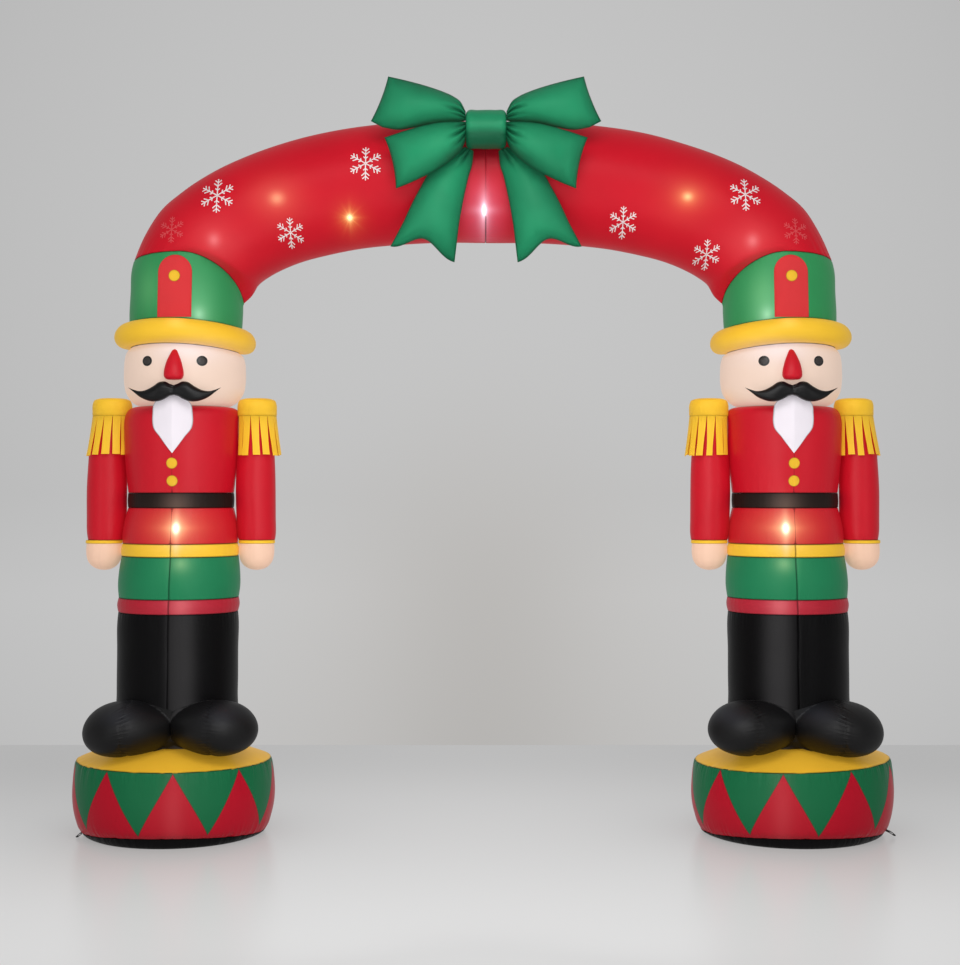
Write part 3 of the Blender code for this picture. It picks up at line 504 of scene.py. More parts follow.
def spotted(tree, total, where, spots, tint, rays=()):
    """Adds to a colour what one place shows on the front of the skin: a lamp shining through
    it, or a painted highlight, sheen or reflection.
    """
    x, y, z = split(tree, coordinates(tree))
    across, rise = x - where[0], z - where[1]
    shown = []
    for wide, tall, power, colour in spots:
        u, v = across / wide, rise / tall
        shown.append((((u * u + v * v).math("POWER", power / 2) * -1.0).math("EXPONENT"), colour))
    for count, turn_by, length, colour in rays:
        spoke = (across.math("ARCTAN2", rise) * count + turn_by).math("SINE") * 0.5 + 0.5
        reach = (across * across + rise * rise).math("SQRT")
        dying = (reach / length * -1.0).math("EXPONENT")
        shown.append((spoke.math("POWER", 4.0) * dying, colour))
    front = (y * -40.0).clipped()
    for share, colour in shown:
        light = scaled(tree, tuple(c * t for c, t in zip(colour, tint)), share * front)
        total = add(tree, "VectorMath", {0: light, 1: total}, operation="ADD").outputs[0]
    return total


def shader_of(name):
    material = bpy.data.materials.new(name)
    material.use_nodes = True
    return material, material.node_tree, material.node_tree.nodes["Principled BSDF"]


def nylon(
    name,
    colour,
    deep=0.86,
    rough=0.42,
    shine=0.20,
    pucker=0.6,
    lit=0.25,
    glows_and_painted_light=(),
    pattern=None,
    tinted=0.0,
    edge=(0.0026, 0.80),
):
    """Thin coated cloth, air filled. deep is how dark its slow mottling runs, lit is the share of
    its colour that shines through from the air space, pattern swaps the plain colour, tinted is
    how far its gloss takes its colour, and edge is the half-width and strength of the dark seam
    line. Each glow is a place, its spots, the skin's tint and its rays: a lamp shining through,
    or on some pieces a painted highlight, sheen or reflection. A painted-shade mark at the points
    darkens the colour and dims the glow."""
    _, tree, shader = shader_of(name)
    plain = pattern(tree) if pattern else colour
    seam = attribute(tree, "seam").fade(edge[0], 2.0)
    # Painted shade from a piece's mark (in bow pleats, under and round the knot) darkens the colour
    fold = attribute(tree, "fold").math("MINIMUM", 0.85)
    if pattern:
        base = mixed(tree, seam * edge[1], plain, (0.01, 0.004, 0.004))
    else:
        base = mixed(tree, noise(tree, 5.0, 3.0).step(0.5, 0.55), plain, times(colour, deep))
        base = mixed(tree, fold, base, times(colour, 0.12))
        base = mixed(tree, seam * edge[1], base, times(colour, 0.15))
    streaks = noise(tree, 1.0, 2.0, stretched_uv(tree, 70.0, 9.0))
    near = attribute(tree, "seam").fade(0.030)
    height = streaks * near * (0.0040 * pucker) + noise(tree, 22.0, 3.0) * 0.0006
    light, strength = plain, lit
    if glows_and_painted_light:
        total = scaled(tree, plain, lit) if pattern else times(colour, lit)
        for glow in glows_and_painted_light:
            total = spotted(tree, total, *glow)
        # The glow dims along the dark seam line and under the painted shade
        shown = (seam * -edge[1] + 1.0) * (fold * -1.0 + 1.0)
        light, strength = scaled(tree, total, shown), 1.0
    inputs = {
        "Base Color": base,
        "Roughness": rough,
        "Specular IOR Level": shine,
        "Specular Tint": [1.0 - tinted * (1.0 - c / max(colour)) for c in colour],
        "Normal": bumped(tree, height + weave(tree) * 0.000008),
        "Emission Color": light,
        "Emission Strength": strength,
    }
    fill(tree, shader, inputs)


def matt(name, colour, rough, sheen=0.0, grain=None):
    """Print, or webbing whose grain is a scale and a depth."""
    _, tree, shader = shader_of(name)
    base = mixed(tree, noise(tree, 40.0, 3.0), colour, times(colour, 0.86))
    fill(tree, shader, {"Base Color": base, "Roughness": rough, "Sheen Weight": sheen})
    if grain:
        fill(tree, shader, {"Normal": bumped(tree, noise(tree, grain[0]) * grain[1])})


def drum_nylon(prefix, side):
    """Red triangles standing on a red foot line, green ones hanging between them."""

    def pattern(tree):
        x, y, z = split(tree, coordinates(tree))
        across = x * side - DRUM_OUT
        angle = (y * -1.0).math("ARCTAN2", across * side)  # 90 degrees faces the front
        facing = math.radians(90 - DRUM_TURN[prefix])
        turns = (angle - facing) * (TRIANGLES / (2 * math.pi)) + 100.0  # 100 keeps it positive
        wave = (turns.math("FRACT") - 0.5).math("ABSOLUTE") * -2.0 + 1.0  # 0 at each red point
        high = DRUM_SIDE[-1][0] - 0.004
        level = (z - across * (DRUM_TILT[side] * 0.8) - PATTERN_FOOT) / (high - PATTERN_FOOT)
        edge = ((wave * -1.0 + 1.0) - level).step(0.0, 0.030)
        border = edge * (edge * -1.0 + 1.0) * 2.6
        return mixed(tree, border, mixed(tree, edge, DRUM_GREEN, DRUM_RED), DRUM_BORDER)

    settings = {"rough": 0.34, "shine": 0.09, "pucker": 1.8, "lit": 0.03}
    nylon(prefix + "drum_nylon", GREEN, glows_and_painted_light=DRUM_PAINTED_HIGHLIGHT, pattern=pattern, **settings)


# Lamp glow comes from inside; the drums, legs, belt, hats and brims also carry painted highlights,
# the shoes painted sheen and the brims a painted reflection
nylon("red_nylon", RED, shine=0.26, tinted=0.2, glows_and_painted_light=COAT_GLOWS)
nylon("tube_nylon", RED, shine=0.13, tinted=0.2, glows_and_painted_light=TUBE_GLOWS)
nylon("panel_nylon", PANEL_RED, shine=0.26, tinted=0.3, lit=0.36)
nylon("band_nylon", BAND_RED, shine=0.26, tinted=0.3, glows_and_painted_light=BAND_GLOWS)
nylon("green_nylon", GREEN, tinted=0.5, glows_and_painted_light=GREEN_GLOWS)
nylon("hat_nylon", HAT_GREEN, shine=0.24, tinted=0.5, lit=0.30, glows_and_painted_light=HAT_GLOWS_AND_PAINTED_HIGHLIGHT)
nylon("bow_nylon", BOW_GREEN, 0.66, 0.38, 0.30, 1.3, 0.06, tinted=0.6, edge=(0.0050, 0.75))
nylon("yellow_nylon", YELLOW, lit=0.33, tinted=0.3, glows_and_painted_light=YELLOW_GLOWS_AND_PAINTED_LIGHT)
nylon("drum_top_nylon", DRUM_YELLOW, deep=0.80, lit=0.30, tinted=0.3, edge=(0.004, 0.7))
nylon("cream_nylon", CREAM, deep=0.94, lit=0.90, glows_and_painted_light=FACE_GLOWS)
nylon("hand_nylon", HAND_CREAM, deep=0.90, pucker=1.0, lit=0.80)
nylon("black_nylon", BLACK, rough=0.38, shine=0.24, pucker=1.4, lit=0.0)
nylon("shoe_nylon", BLACK, rough=0.50, shine=0.24, pucker=1.8, lit=0.0, glows_and_painted_light=SHOE_PAINTED_SHEEN)
nylon("leg_nylon", BLACK, rough=0.40, shine=0.07, pucker=1.0, lit=0.0, glows_and_painted_light=LEG_PAINTED_HIGHLIGHT)
nylon("belt_nylon", BELT_BLACK, rough=0.45, shine=0.10, glows_and_painted_light=BELT_GLOWS_AND_PAINTED_HIGHLIGHT)
nylon("white_cloth", WHITE, deep=0.96, rough=0.7, pucker=0.2, lit=0.15)
nylon("base_cloth", BLACK, rough=0.38, shine=0.08, pucker=1.5, lit=0.0)
drum_nylon("left_", -1)
drum_nylon("right_", 1)
matt("white_print", (0.80, 0.72, 0.72), 0.55)
matt("faint_print", (0.66, 0.060, 0.070), 0.45)
matt("eye_print", (0.006, 0.005, 0.005), 0.35)
matt("pupil_print", (0.030, 0.025, 0.023), 0.40)
matt("strap_webbing", (0.004, 0.004, 0.005), 0.75, 0.05, (900.0, 0.0008))


# ---------------------------------------------------------------- shapes
def bell(x, width, power=2.0):
    return np.exp(-(np.abs(x / width) ** power))


def apart(angles, other):
    return (angles - other + math.pi) % (2 * math.pi) - math.pi


def summed(steps):
    return np.concatenate([[0.0], np.cumsum(steps)])


def through(rings, step=STEP, ends=END_ROWS):
    """Rows along a smooth surface through key rings, closer together beside both ends, and how far
    along the surface each row lies."""
    rings = np.asarray(rings, float)
    keys = rings.reshape(len(rings), -1, rings.shape[-1])
    chord = summed(np.linalg.norm(np.diff(keys, axis=0), axis=2).mean(axis=1))
    flat = keys.reshape(len(keys), -1)
    slope = np.gradient(flat, chord, axis=0)
    whole = chord[-1]
    at = np.linspace(0.0, whole, max(3, round(whole / step)) + 1)
    ends = [e for e in ends if e < whole * 0.4]
    at = np.unique(np.concatenate([at, ends, [whole - e for e in ends]]))
    i = np.clip(np.searchsorted(chord, at, side="right") - 1, 0, len(chord) - 2)
    span = (chord[i + 1] - chord[i])[:, None]
    t = ((at - chord[i]) / span[:, 0])[:, None]
    rows = (2 * t**3 - 3 * t**2 + 1) * flat[i] + (t**3 - 2 * t**2 + t) * span * slope[i]
    rows += (3 * t**2 - 2 * t**3) * flat[i + 1] + (t**3 - t**2) * span * slope[i + 1]
    return rows.reshape(len(at), *rings.shape[1:]), at


def turn(count, creases=()):
    """Angles round a skin, closer together beside each lengthwise seam."""
    beside = np.radians([0.25, 0.6, 1.0, 1.6, 2.4])
    extra = [c + way * beside for c in creases for way in (-1, 1)]
    angles = np.concatenate([np.arange(count) * 2 * math.pi / count, *extra, list(creases)])
    return np.unique(np.round(angles % (2 * math.pi), 6))


def out_at(height):
    return np.interp(height, *zip(*LEAN))


def ring(out, height, radius, angles):
    x, y = radius * np.cos(angles), radius * np.sin(angles)
    return np.stack([out + x, y, np.broadcast_to(height, x.shape)], axis=1)


def level_ring(height, radius, angles, saddle=0.0):
    """A ring about a soldier's middle, bent by a share of the brim's saddle."""
    x = radius * np.cos(angles)
    rise = BRIM_TILT * x - BRIM_DROOP * (x / BRIM_RADIUS) ** 2
    return ring(out_at(height), height + saddle * rise, radius, angles)


def dome(out, y, side):
    """Height of the drum's top."""
    sideways = out - DRUM_OUT
    share = np.minimum(1.0, np.hypot(sideways, y) / DOME_RADIUS)
    return DOME_FOOT + DOME_RISE * (1 - share**1.8) + DRUM_TILT[side] * sideways


def dome_ring(out, radius, angles, side, lift=0.0):
    spots = ring(out, 0.0, radius, angles)
    spots[:, 2] = dome(spots[:, 0], spots[:, 1], side) + lift
    return spots


def inward(grid):
    """Unit vectors from each point to the middle of its ring, and the distance."""
    to = grid.mean(axis=1, keepdims=True) - grid
    length = np.linalg.norm(to, axis=2, keepdims=True)
    return to / np.maximum(length, 1e-9), length[..., 0]


def rolled(grid, at, roll=ROLL, ends=(True, True)):
    """Turns a skin's ends in to their seams, as if round a small tube."""
    way, _ = inward(grid)
    for s, there in zip((at, at[-1] - at), ends):
        if there:
            t = np.clip(s / roll, 0.0, 1.0)
            grid = grid + way * (roll * (1 - np.sqrt(1 - (1 - t) ** 2)))[:, None, None]
    return grid


def puckered(grid, at, end, number, depth, reach, width, seed):
    """Presses small folds into a skin where its seam gathers it."""
    draw = np.random.default_rng(seed)
    columns = np.arange(grid.shape[1]) / grid.shape[1]
    middles = (np.arange(number) + draw.uniform(-0.32, 0.32, number)) / number
    depths = depth * draw.uniform(0.25, 1.0, number)
    widths = width * draw.uniform(0.7, 1.5, number)
    reaches = reach * draw.uniform(0.45, 1.3, number)
    away = (columns - middles[:, None] + 0.5) % 1.0 - 0.5
    s = at[-1] - at if end else at
    along = bell(s, reaches[:, None], 1.3) * depths[:, None]
    way, _ = inward(grid)
    return grid + way * (along.T @ bell(away, widths[:, None]))[..., None]


def creased(grid, angles, depth, half_width, wander, seed):
    """Draws a skin in along its seams down front and back."""
    draw = np.random.default_rng(seed)
    way, _ = inward(grid)
    rows = len(grid)
    press = np.zeros(grid.shape[:2])
    for seam in FRONT_AND_BACK:
        drift = np.interp(np.arange(rows), np.linspace(0, rows, 7), draw.uniform(-1, 1, 7))
        off = apart(angles, seam) * BODY_RADIUS - (drift * wander)[:, None]
        press += depth * bell(off, half_width, 1) + 0.3 * depth * bell(off, 5 * half_width)
    return grid + way * press[..., None]


def bumpy(grid, depth, size, seed):
    """Slow unevenness of an air-filled skin."""
    draw = np.random.default_rng(seed)
    way, _ = inward(grid)
    swell = np.zeros(grid.shape[:2])
    for _ in range(7):
        wave = draw.normal(0.0, 1.0, 3)
        wave *= 2 * math.pi / size / np.linalg.norm(wave)
        swell += np.sin(grid @ wave + draw.uniform(0, 2 * math.pi))
    return grid + way * (depth * swell / 7)[..., None]


def blown(kind, rings, shift=0):
    """The air-filled skin through key rings; shift changes its seeds."""
    step, gathers, swell, roll = CLOTH[kind]
    grid, at = through(rings, step)
    for *sizes, seed in gathers:
        grid = puckered(grid, at, *sizes, seed + shift)
    if swell:
        grid = bumpy(grid, *swell[:2], swell[2] + shift)
    return rolled(grid, at, roll) if roll else grid, at


def keep_off(grid, table):
    """Moves points that lie inside the body given as heights and radii out to its skin."""
    heights = grid[..., 2]
    centre = out_at(heights)
    radius = np.interp(heights, *zip(*table), right=-1.0) + REST
    off = np.stack([grid[..., 0] - centre, grid[..., 1]], axis=-1)
    reach = np.linalg.norm(off, axis=-1)
    push = np.maximum(radius / np.maximum(reach, 1e-6), 1.0)
    return np.stack([centre + off[..., 0] * push, off[..., 1] * push, heights], axis=-1)


def tube(rows, count, first=0):
    """Faces between closed rings, and the two caps."""
    i, k = (v.ravel() for v in np.meshgrid(np.arange(rows - 1), np.arange(count), indexing="ij"))
    after = (k + 1) % count
    low, high = first + i * count, first + (i + 1) * count
    caps = [range(first, first + count)[::-1], range(first, first + rows * count)[-count:]]
    return np.stack([low + k, low + after, high + after, high + k], -1), list(map(tuple, caps))


def outward(mesh):
    """Turns every face of a mesh's closed bodies outwards."""
    work = bmesh.new()
    work.from_mesh(mesh)
    bmesh.ops.recalc_face_normals(work, faces=work.faces)
    work.to_mesh(mesh)
    work.free()


def built(name, points, faces, material, marks, sharp, node=None, cloth=None):
    """A piece that rides on the part. marks are numbers at its points, sharp is the angle in
    degrees above which its edges show, and cloth is its faces' own coordinates, given where they
    are turned right already."""
    mesh = bpy.data.meshes.new(name)
    mesh.from_pydata(points, [], faces)
    if cloth is None:
        outward(mesh)
    layer = mesh.uv_layers.new(name="cloth")
    if cloth is not None:
        flat = np.zeros(len(mesh.loops) * 2)
        flat[: cloth.size] = cloth.ravel()
        layer.data.foreach_set("uv", flat)
    for mark, values in marks.items():
        values = np.asarray(values, np.float32).ravel()
        mesh.attributes.new(mark, "FLOAT", "POINT").data.foreach_set("value", values)
    mesh.shade_smooth()
    if sharp:
        mesh.set_sharp_from_angle(angle=math.radians(sharp))
    mesh.materials.append(bpy.data.materials[material])
    obj = bpy.data.objects.new(name, mesh)
    bpy.context.scene.collection.objects.link(obj)
    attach(obj, "root")
    if node:
        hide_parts(node)
    return obj


def skin(
    node,
    grid,
    at,
    material,
    slot,
    side=1,
    fill=0.8,
    sewn=(True, True),
    line=None,
    fold=None,
    name=None,
):
    """The closed skin of a grid of rings, with its cloth coordinates in metres and each point's
    distance from its nearest seam: a sewn end, or line, the distance from a lengthwise one."""
    rows, count = grid.shape[:2]
    points = grid.reshape(-1, 3) * (side, 1, 1)
    quads, caps = tube(rows, count)
    a, b, c, d = (points[quads[:, j]] for j in range(4))
    inside_out = np.sum(np.cross(a, b) * c) + np.sum(np.cross(a, c) * d) < 0
    if at is None:
        at = summed(np.linalg.norm(np.diff(grid, axis=0), axis=2).mean(1))
    middle = grid[rows // 2]
    around = summed(np.linalg.norm(np.roll(middle, -1, axis=0) - middle, axis=1))
    i, k = np.divmod(np.arange(len(quads))[:, None], count)
    cloth = np.stack([around[k + (0, 1, 1, 0)], at[i + (0, 0, 1, 1)]], -1)
    faces = quads.tolist() + caps
    if inside_out:
        faces, cloth = [f[::-1] for f in faces], cloth[:, ::-1]
    far = np.full(rows, at[-1] * 2 + 1)
    near = np.minimum(at if sewn[0] else far, at[-1] - at if sewn[1] else far)[:, None]
    near = near if line is None else np.minimum(near, line)
    marks = {"seam": np.broadcast_to(near, (rows, count))}
    # A painted-shade mark, where given, darkens the colour there
    if fold is not None:
        marks["fold"] = fold
    name = name or node + "_cloth"
    return built(name, points.tolist(), faces, material, marks, 55, node, cloth)


def beside_seams(angles):
    """How far each column of a skin lies from its nearest lengthwise seam."""
    return np.min([np.abs(apart(angles, s)) * BODY_RADIUS for s in FRONT_AND_BACK], axis=0)[None]


# ---------------------------------------------------------------- soldier
SIDES = (("outer", 1), ("inner", -1))
FACE_OUT = out_at(1.65)  # middle of the face


def stack(prefix, side, name, table, count, material, slot, seed, crease, gathers, finer):
    """A turned body piece between two level seams."""
    angles = turn(count, FRONT_AND_BACK if crease else ())
    grid, at = through([level_ring(z, r, angles) for z, r in table])
    if crease:
        grid = creased(grid, angles, *LEG_SEAM, CREASE_WANDER, seed)
    for end in (0, 1) if gathers else ():
        grid = puckered(grid, at, end, gathers, 0.0016, 0.022, 0.006, seed + end)
    grid = rolled(bumpy(grid, 0.0007, 0.13, seed), at)
    line = beside_seams(angles) * finer if finer else None
    return skin(prefix + name, grid, at, material, slot, side, line=line)


def foot_seam(forward):
    """Height of the seam between the drum's side and its base, by the share of the way forward."""
    low, rise, power = FOOT_SEAM
    return low + rise * np.abs(forward) ** power


def foot_curl(seam):
    share, radius = DRUM_CURL
    return seam + share * (DRUM_SIDE[0][0] - seam), radius


def drum(prefix, side):
    angles = turn(288)
    shift = int(side < 0)
    seam = foot_seam(np.sin(angles))
    rings = [ring(DRUM_OUT, seam * share, r, angles) for share, r in DRUM_BASE]
    grid, at = blown("drum_base", rings, shift)
    skin(prefix + "drum_base", grid, at, "base_cloth", "base_vinyl", side)

    low, high = DRUM_SIDE[0][0], DRUM_SIDE[-1][0]
    rings = [(seam + GAP, DRUM_BASE[-1][1]), foot_curl(seam)]
    rings = [ring(DRUM_OUT, z, r, angles) for z, r in rings]
    for z, r in DRUM_SIDE:
        tilted = level_ring(z, r, angles)
        tilted[:, 2] += DRUM_TILT[side] * (z - low) / (high - low) * (tilted[:, 0] - DRUM_OUT)
        rings.append(tilted)
    grid, at = blown("drum_side", rings, shift)
    skin(prefix + "drum_side", grid, at, prefix + "drum_nylon", "drum_pattern", side, 0.9)

    shares = (1.0, 0.985, 0.95, 0.88, 0.76, 0.6, 0.42, 0.22, 0.03)
    grid, at = through([dome_ring(DRUM_OUT, DOME_RADIUS * s, angles, side) for s in shares])
    draw = np.random.default_rng(17 + shift)
    for middle in draw.uniform(0, 2 * math.pi, 44):
        dent = bell(apart(angles, middle), 0.035) * draw.uniform(0.2, 1.0)
        grid[..., 2] -= 0.0028 * bell(at, 0.022, 1)[:, None] * dent
    node = prefix + "drum_top"
    skin(node, grid, at, "drum_top_nylon", "yellow_fabric", side, sewn=(True, False))


def legs(prefix, side):
    angles = turn(224, FRONT_AND_BACK)
    middle = out_at(LEGS[0][0])
    rings = [dome_ring(middle, r, angles, side, REST) for r in (0.010, 0.060, 0.120, 0.175)]
    rings += [level_ring(z, r, angles) for z, r in LEGS]
    grid, at = through(rings, 0.010)
    seam = creased(grid, angles, LEG_SEAM[0] * 1.3, LEG_SEAM[1], 2 * CREASE_WANDER, 5)
    grid = np.where(grid[:, :1, 2:] > 0.36, seam, grid)  # only above the pressed foot
    grid = rolled(bumpy(grid, 0.0012, 0.14, 3), at, ends=(False, True))
    line = beside_seams(angles)
    node = prefix + "legs"
    skin(node, grid, at, "leg_nylon", "black_fabric", side, sewn=(False, True), line=line)


def foot(prefix, side, which, way):
    """A puffed shoe, sewn from heel to toe and pressed against its twin, the legs and the drum."""
    length, width, height = FOOT_SIZE
    sideways, depth, middle = FOOT_PLACE
    sine, cosine = math.sin(FOOT_SPLAY), math.cos(FOOT_SPLAY)
    angles = turn(128, FRONT_AND_BACK)
    t = np.sin(np.linspace(-0.5 * math.pi, 0.5 * math.pi, 62))[:, None] * 0.9995
    full = (1 - np.abs(t) ** FOOT_FULLNESS) ** (1 / FOOT_FULLNESS)
    s, c = t * length, width * full * np.cos(angles)
    h = height * full * np.sin(angles) * (FOOT_TAPER[0] + FOOT_TAPER[1] * t)
    h = middle + h - FOOT_DROOP[which] * np.maximum(t, 0.0) ** 2
    grid = [sideways + s * sine + c * cosine, depth - s * cosine + c * sine, h]
    grid = np.stack(grid, axis=-1)
    at = (t[:, 0] - t[0, 0]) * length
    draw = np.random.default_rng(21 + (way > 0))
    way_in, reach_in = inward(grid)
    off = np.abs(FEET_OUT + way * grid[..., 0] - FOOT_SEAM_OUT[which])
    press = 0.0036 * bell(off, 0.0045, 1) + 0.0016 * bell(off, 0.018)
    for mid in draw.uniform(0.1, 1.0, 30) * at[-1]:
        reach = draw.uniform(0.006, 0.026)
        along_seam = bell(at - mid, draw.uniform(0.003, 0.007))[:, None]
        press += 0.0034 * draw.uniform(0.3, 1.0) * along_seam * bell(off, reach, 1)
    grid = grid + way_in * (press * (np.minimum(reach_in, 0.03) / 0.03))[..., None]
    grid = bumpy(grid, 0.0035, 0.16, 31 + (way > 0))
    grid[..., 0] = FEET_OUT + way * np.maximum(grid[..., 0], GAP / 2)
    grid = keep_off(grid, LEGS)
    grid[..., 2] = np.maximum(grid[..., 2], dome(grid[..., 0], grid[..., 1], side) + REST)
    node, sewn = f"{prefix}foot_{which}", (False, False)
    skin(node, grid, at, "shoe_nylon", "black_fabric", side, 0.9, sewn, off * 1.3)


def arm(prefix, side, which):
    column = 1 + (which == "inner")
    angles = turn(96)
    grid, at = through([ring(row[column], row[0], row[3], angles) for row in SLEEVE], 0.009)
    grid = bumpy(grid, 0.0012, 0.12, 41 + column)
    grid = puckered(grid, at, 0, 14, 0.0014, 0.020, 0.018, 43 + column)
    grid = rolled(keep_off(grid, BODY), at)
    skin(f"{prefix}sleeve_{which}", grid, at, "red_nylon", "red_fabric", side)

    out = HAND_OUT[column - 1]
    grid, at = through([ring(out, z, r, angles) for z, r in HAND], 0.005)
    grid = puckered(grid, at, 1, 9, 0.0060, 0.045, 0.016, 47 + column + (side > 0))
    grid = rolled(bumpy(grid, 0.0015, 0.07, 49 + column), at, ends=(True, False))
    node = f"{prefix}hand_{which}"
    skin(node, grid, at, "hand_nylon", "cream_fabric", side, sewn=(True, False))

    grid, at = through([ring(out, z, r, angles) for z, r in CUFF], 0.002, ())
    name = f"{prefix}cuff_{which}"
    skin(None, grid, at, "yellow_nylon", "yellow_fabric", side, None, name=name)


def strip(out, way, number, draw, swing):
    """One strip of the fringe: a thin tongue that leaves the head's rim and flares a little."""
    middle = (number - STRIP_COUNT / 2) * 2 * math.pi / STRIP_COUNT
    drop, twist, flare, narrow = (draw.uniform(*span) for span in STRIP_SPANS)
    if math.sin(middle) < -0.95:  # beside the neck, where there is no room for one
        return None
    rings = []
    for t in np.linspace(0.0, 1.0, 10):
        z = STRIP_TOP[0] + (STRIP_FOOT + drop - STRIP_TOP[0]) * t
        radius = STRIP_TOP[1] + (STRIP_FLARE + flare) * t**1.25 + STRIP_SECTION
        half = math.radians(STRIP_EDGE - narrow * min(1.0, t * 1.4))
        turned = way * (middle + twist * t**2 + half * np.array([-1, 0, 1, 1, 0, -1]))
        rings.append(ring(out + way * swing * t, z, radius, turned - math.pi / 2))
    return keep_off(np.array(rings), TUNIC)


def epaulette(prefix, side, which, way):
    """The padded head, with its fringe of flat strips cut from one length of cloth."""
    out = EPAULETTE_OUT[which == "inner"]
    angles = way * turn(120) - math.pi / 2
    rings = [ring(out, z, r, angles) for z, r in EPAULETTE_CAP]
    grid, at = through(rings, 0.004, END_ROWS[:3])
    grid = puckered(grid, at, 0, 16, 0.0016, 0.016, 0.012, 61)
    height, reach, depth = EPAULETTE_FLUTE
    grid = grid + inward(grid)[0] * (depth * bell(grid[..., 2] - height, reach, 1))[..., None]
    draw = np.random.default_rng(63 + (way > 0) + 2 * (side > 0))
    grids = [strip(out, way, k, draw, STRIP_SWING[which]) for k in range(STRIP_COUNT)]
    points, faces = [], []
    for part in [keep_off(grid, TUNIC)] + [g for g in grids if g is not None]:
        quads, caps = tube(*part.shape[:2], len(points))
        faces += quads.tolist() + caps
        points += (part.reshape(-1, 3) * (side, 1, 1)).tolist()
    marks = {"seam": np.abs(np.array(points)[:, 2] - EPAULETTE_SEAM) + 0.0006}
    node = f"{prefix}epaulette_{which}"
    built(node + "_cloth", points, faces, "yellow_nylon", marks, 40, node)


def head(prefix, side):
    angles = turn(200)
    saddles = [0.0] * (len(HEAD) - 3) + [1 / 3, 2 / 3, 1.0]
    rings = [level_ring(z, r, angles, saddle) for (z, r), saddle in zip(HEAD, saddles)]
    return skin(prefix + "head", *blown("head", rings), "cream_nylon", "cream_fabric", side)


def brim_and_hat(prefix, side):
    angles = turn(200)
    foot_height = BRIM_HEIGHT + BRIM_ROLL + REST
    sections = [(BRIM_HEIGHT - BRIM_ROLL, 0.197)]
    for a in np.radians(range(-90, 91, 20)):
        out = BRIM_RADIUS - BRIM_ROLL + BRIM_ROLL * math.cos(a)
        sections.append((BRIM_HEIGHT + BRIM_ROLL * math.sin(a), out))
    sections.append((BRIM_HEIGHT + BRIM_ROLL, 0.206))
    rings = [level_ring(z, r, angles, 1.0) for z, r in sections]
    skin(prefix + "brim", *blown("brim", rings), "yellow_nylon", "yellow_fabric", side)

    low, high = level_ring(foot_height, HAT_FOOT_RADIUS, angles, 1.0), hat_seam(angles)
    levels = [low[:, 2] + t * (high[:, 2] - low[:, 2]) for t in (0.12, 0.5, 0.88)]
    rings = [low, *(ring(out_at(z), z, HAT_WAIST_RADIUS, angles) for z in levels), high]
    return skin(prefix + "hat", *blown("hat", rings), "hat_nylon", "green_fabric", side)


def hat_seam(angles, lift=0.0):
    sides = np.where(np.cos(angles) > 0, *HAT_SEAM_DROP)
    drop = sides * (1 - np.abs(np.sin(angles))) ** 0.9
    crest = HAT_SEAM_CREST - drop + lift
    return ring(out_at(HAT_SEAM_CREST), crest, HAT_TOP_RADIUS, angles)


def moustache(prefix, side):
    angles = turn(64)
    round_ = np.sign(np.cos(angles)) * np.abs(np.cos(angles)) ** 0.9
    rings = []
    for sideways, top, bottom, half, depth in mirrored(MOUSTACHE[::-1]) + MOUSTACHE[1:]:
        z = (top + bottom) / 2 + (top - bottom) / 2 * np.sin(angles)
        x = np.full_like(z, FACE_OUT + sideways)
        rings.append(np.stack([x, depth + half * round_, z], axis=1))
    grid, at = through(rings, 0.0045, (0.002,))
    off = np.abs(at - at[-1] / 2)[:, None]
    press = 0.0024 * bell(off, 0.0035)
    draw = np.random.default_rng(95)
    for mid, reach in zip(draw.uniform(0, 2 * math.pi, 12), draw.uniform(0.008, 0.024, 12)):
        press = press + 0.0022 * bell(off, reach, 1) * bell(apart(angles, mid), 0.16)
    grid = grid + inward(grid)[0] * press[..., None]
    node, sewn = prefix + "moustache", (False, False)
    skin(node, grid, at, "black_nylon", "black_fabric", side, sewn=sewn, line=off)


def mirrored(rows):
    return [(-sideways, *rest) for sideways, *rest in rows]


def nose(prefix, side):
    angles = turn(64)
    flat = np.where(np.sin(angles) > 0, NOSE_BACK, 1.0)  # flatter where it is sewn to the face
    rings = []
    for z, half, depth in NOSE:
        x = FACE_OUT + half * np.cos(angles)
        y = depth * (flat * np.sin(angles) - NOSE_BACK) - np.interp(z, *zip(*HEAD)) - REST
        rings.append(np.stack([x, y, np.full_like(x, z)], axis=1))
    grid, at = through(rings, 0.004, ())
    grid = bumpy(grid, 0.0006, 0.05, 97)
    node, sewn = prefix + "nose", (False, False)
    skin(node, grid, at, "red_nylon", "red_fabric", side, sewn=sewn)


def doubled(faces, count):
    """Faces of a sheet, of its copy count points on, and of the walls between their rims."""
    edges = dict.fromkeys(edge for f in faces for edge in zip(f, f[1:] + f[:1]))
    under = [tuple(v + count for v in reversed(f)) for f in faces]
    return faces + under + [(b, a, a + count, b + count) for a, b in edges if (b, a) not in edges]


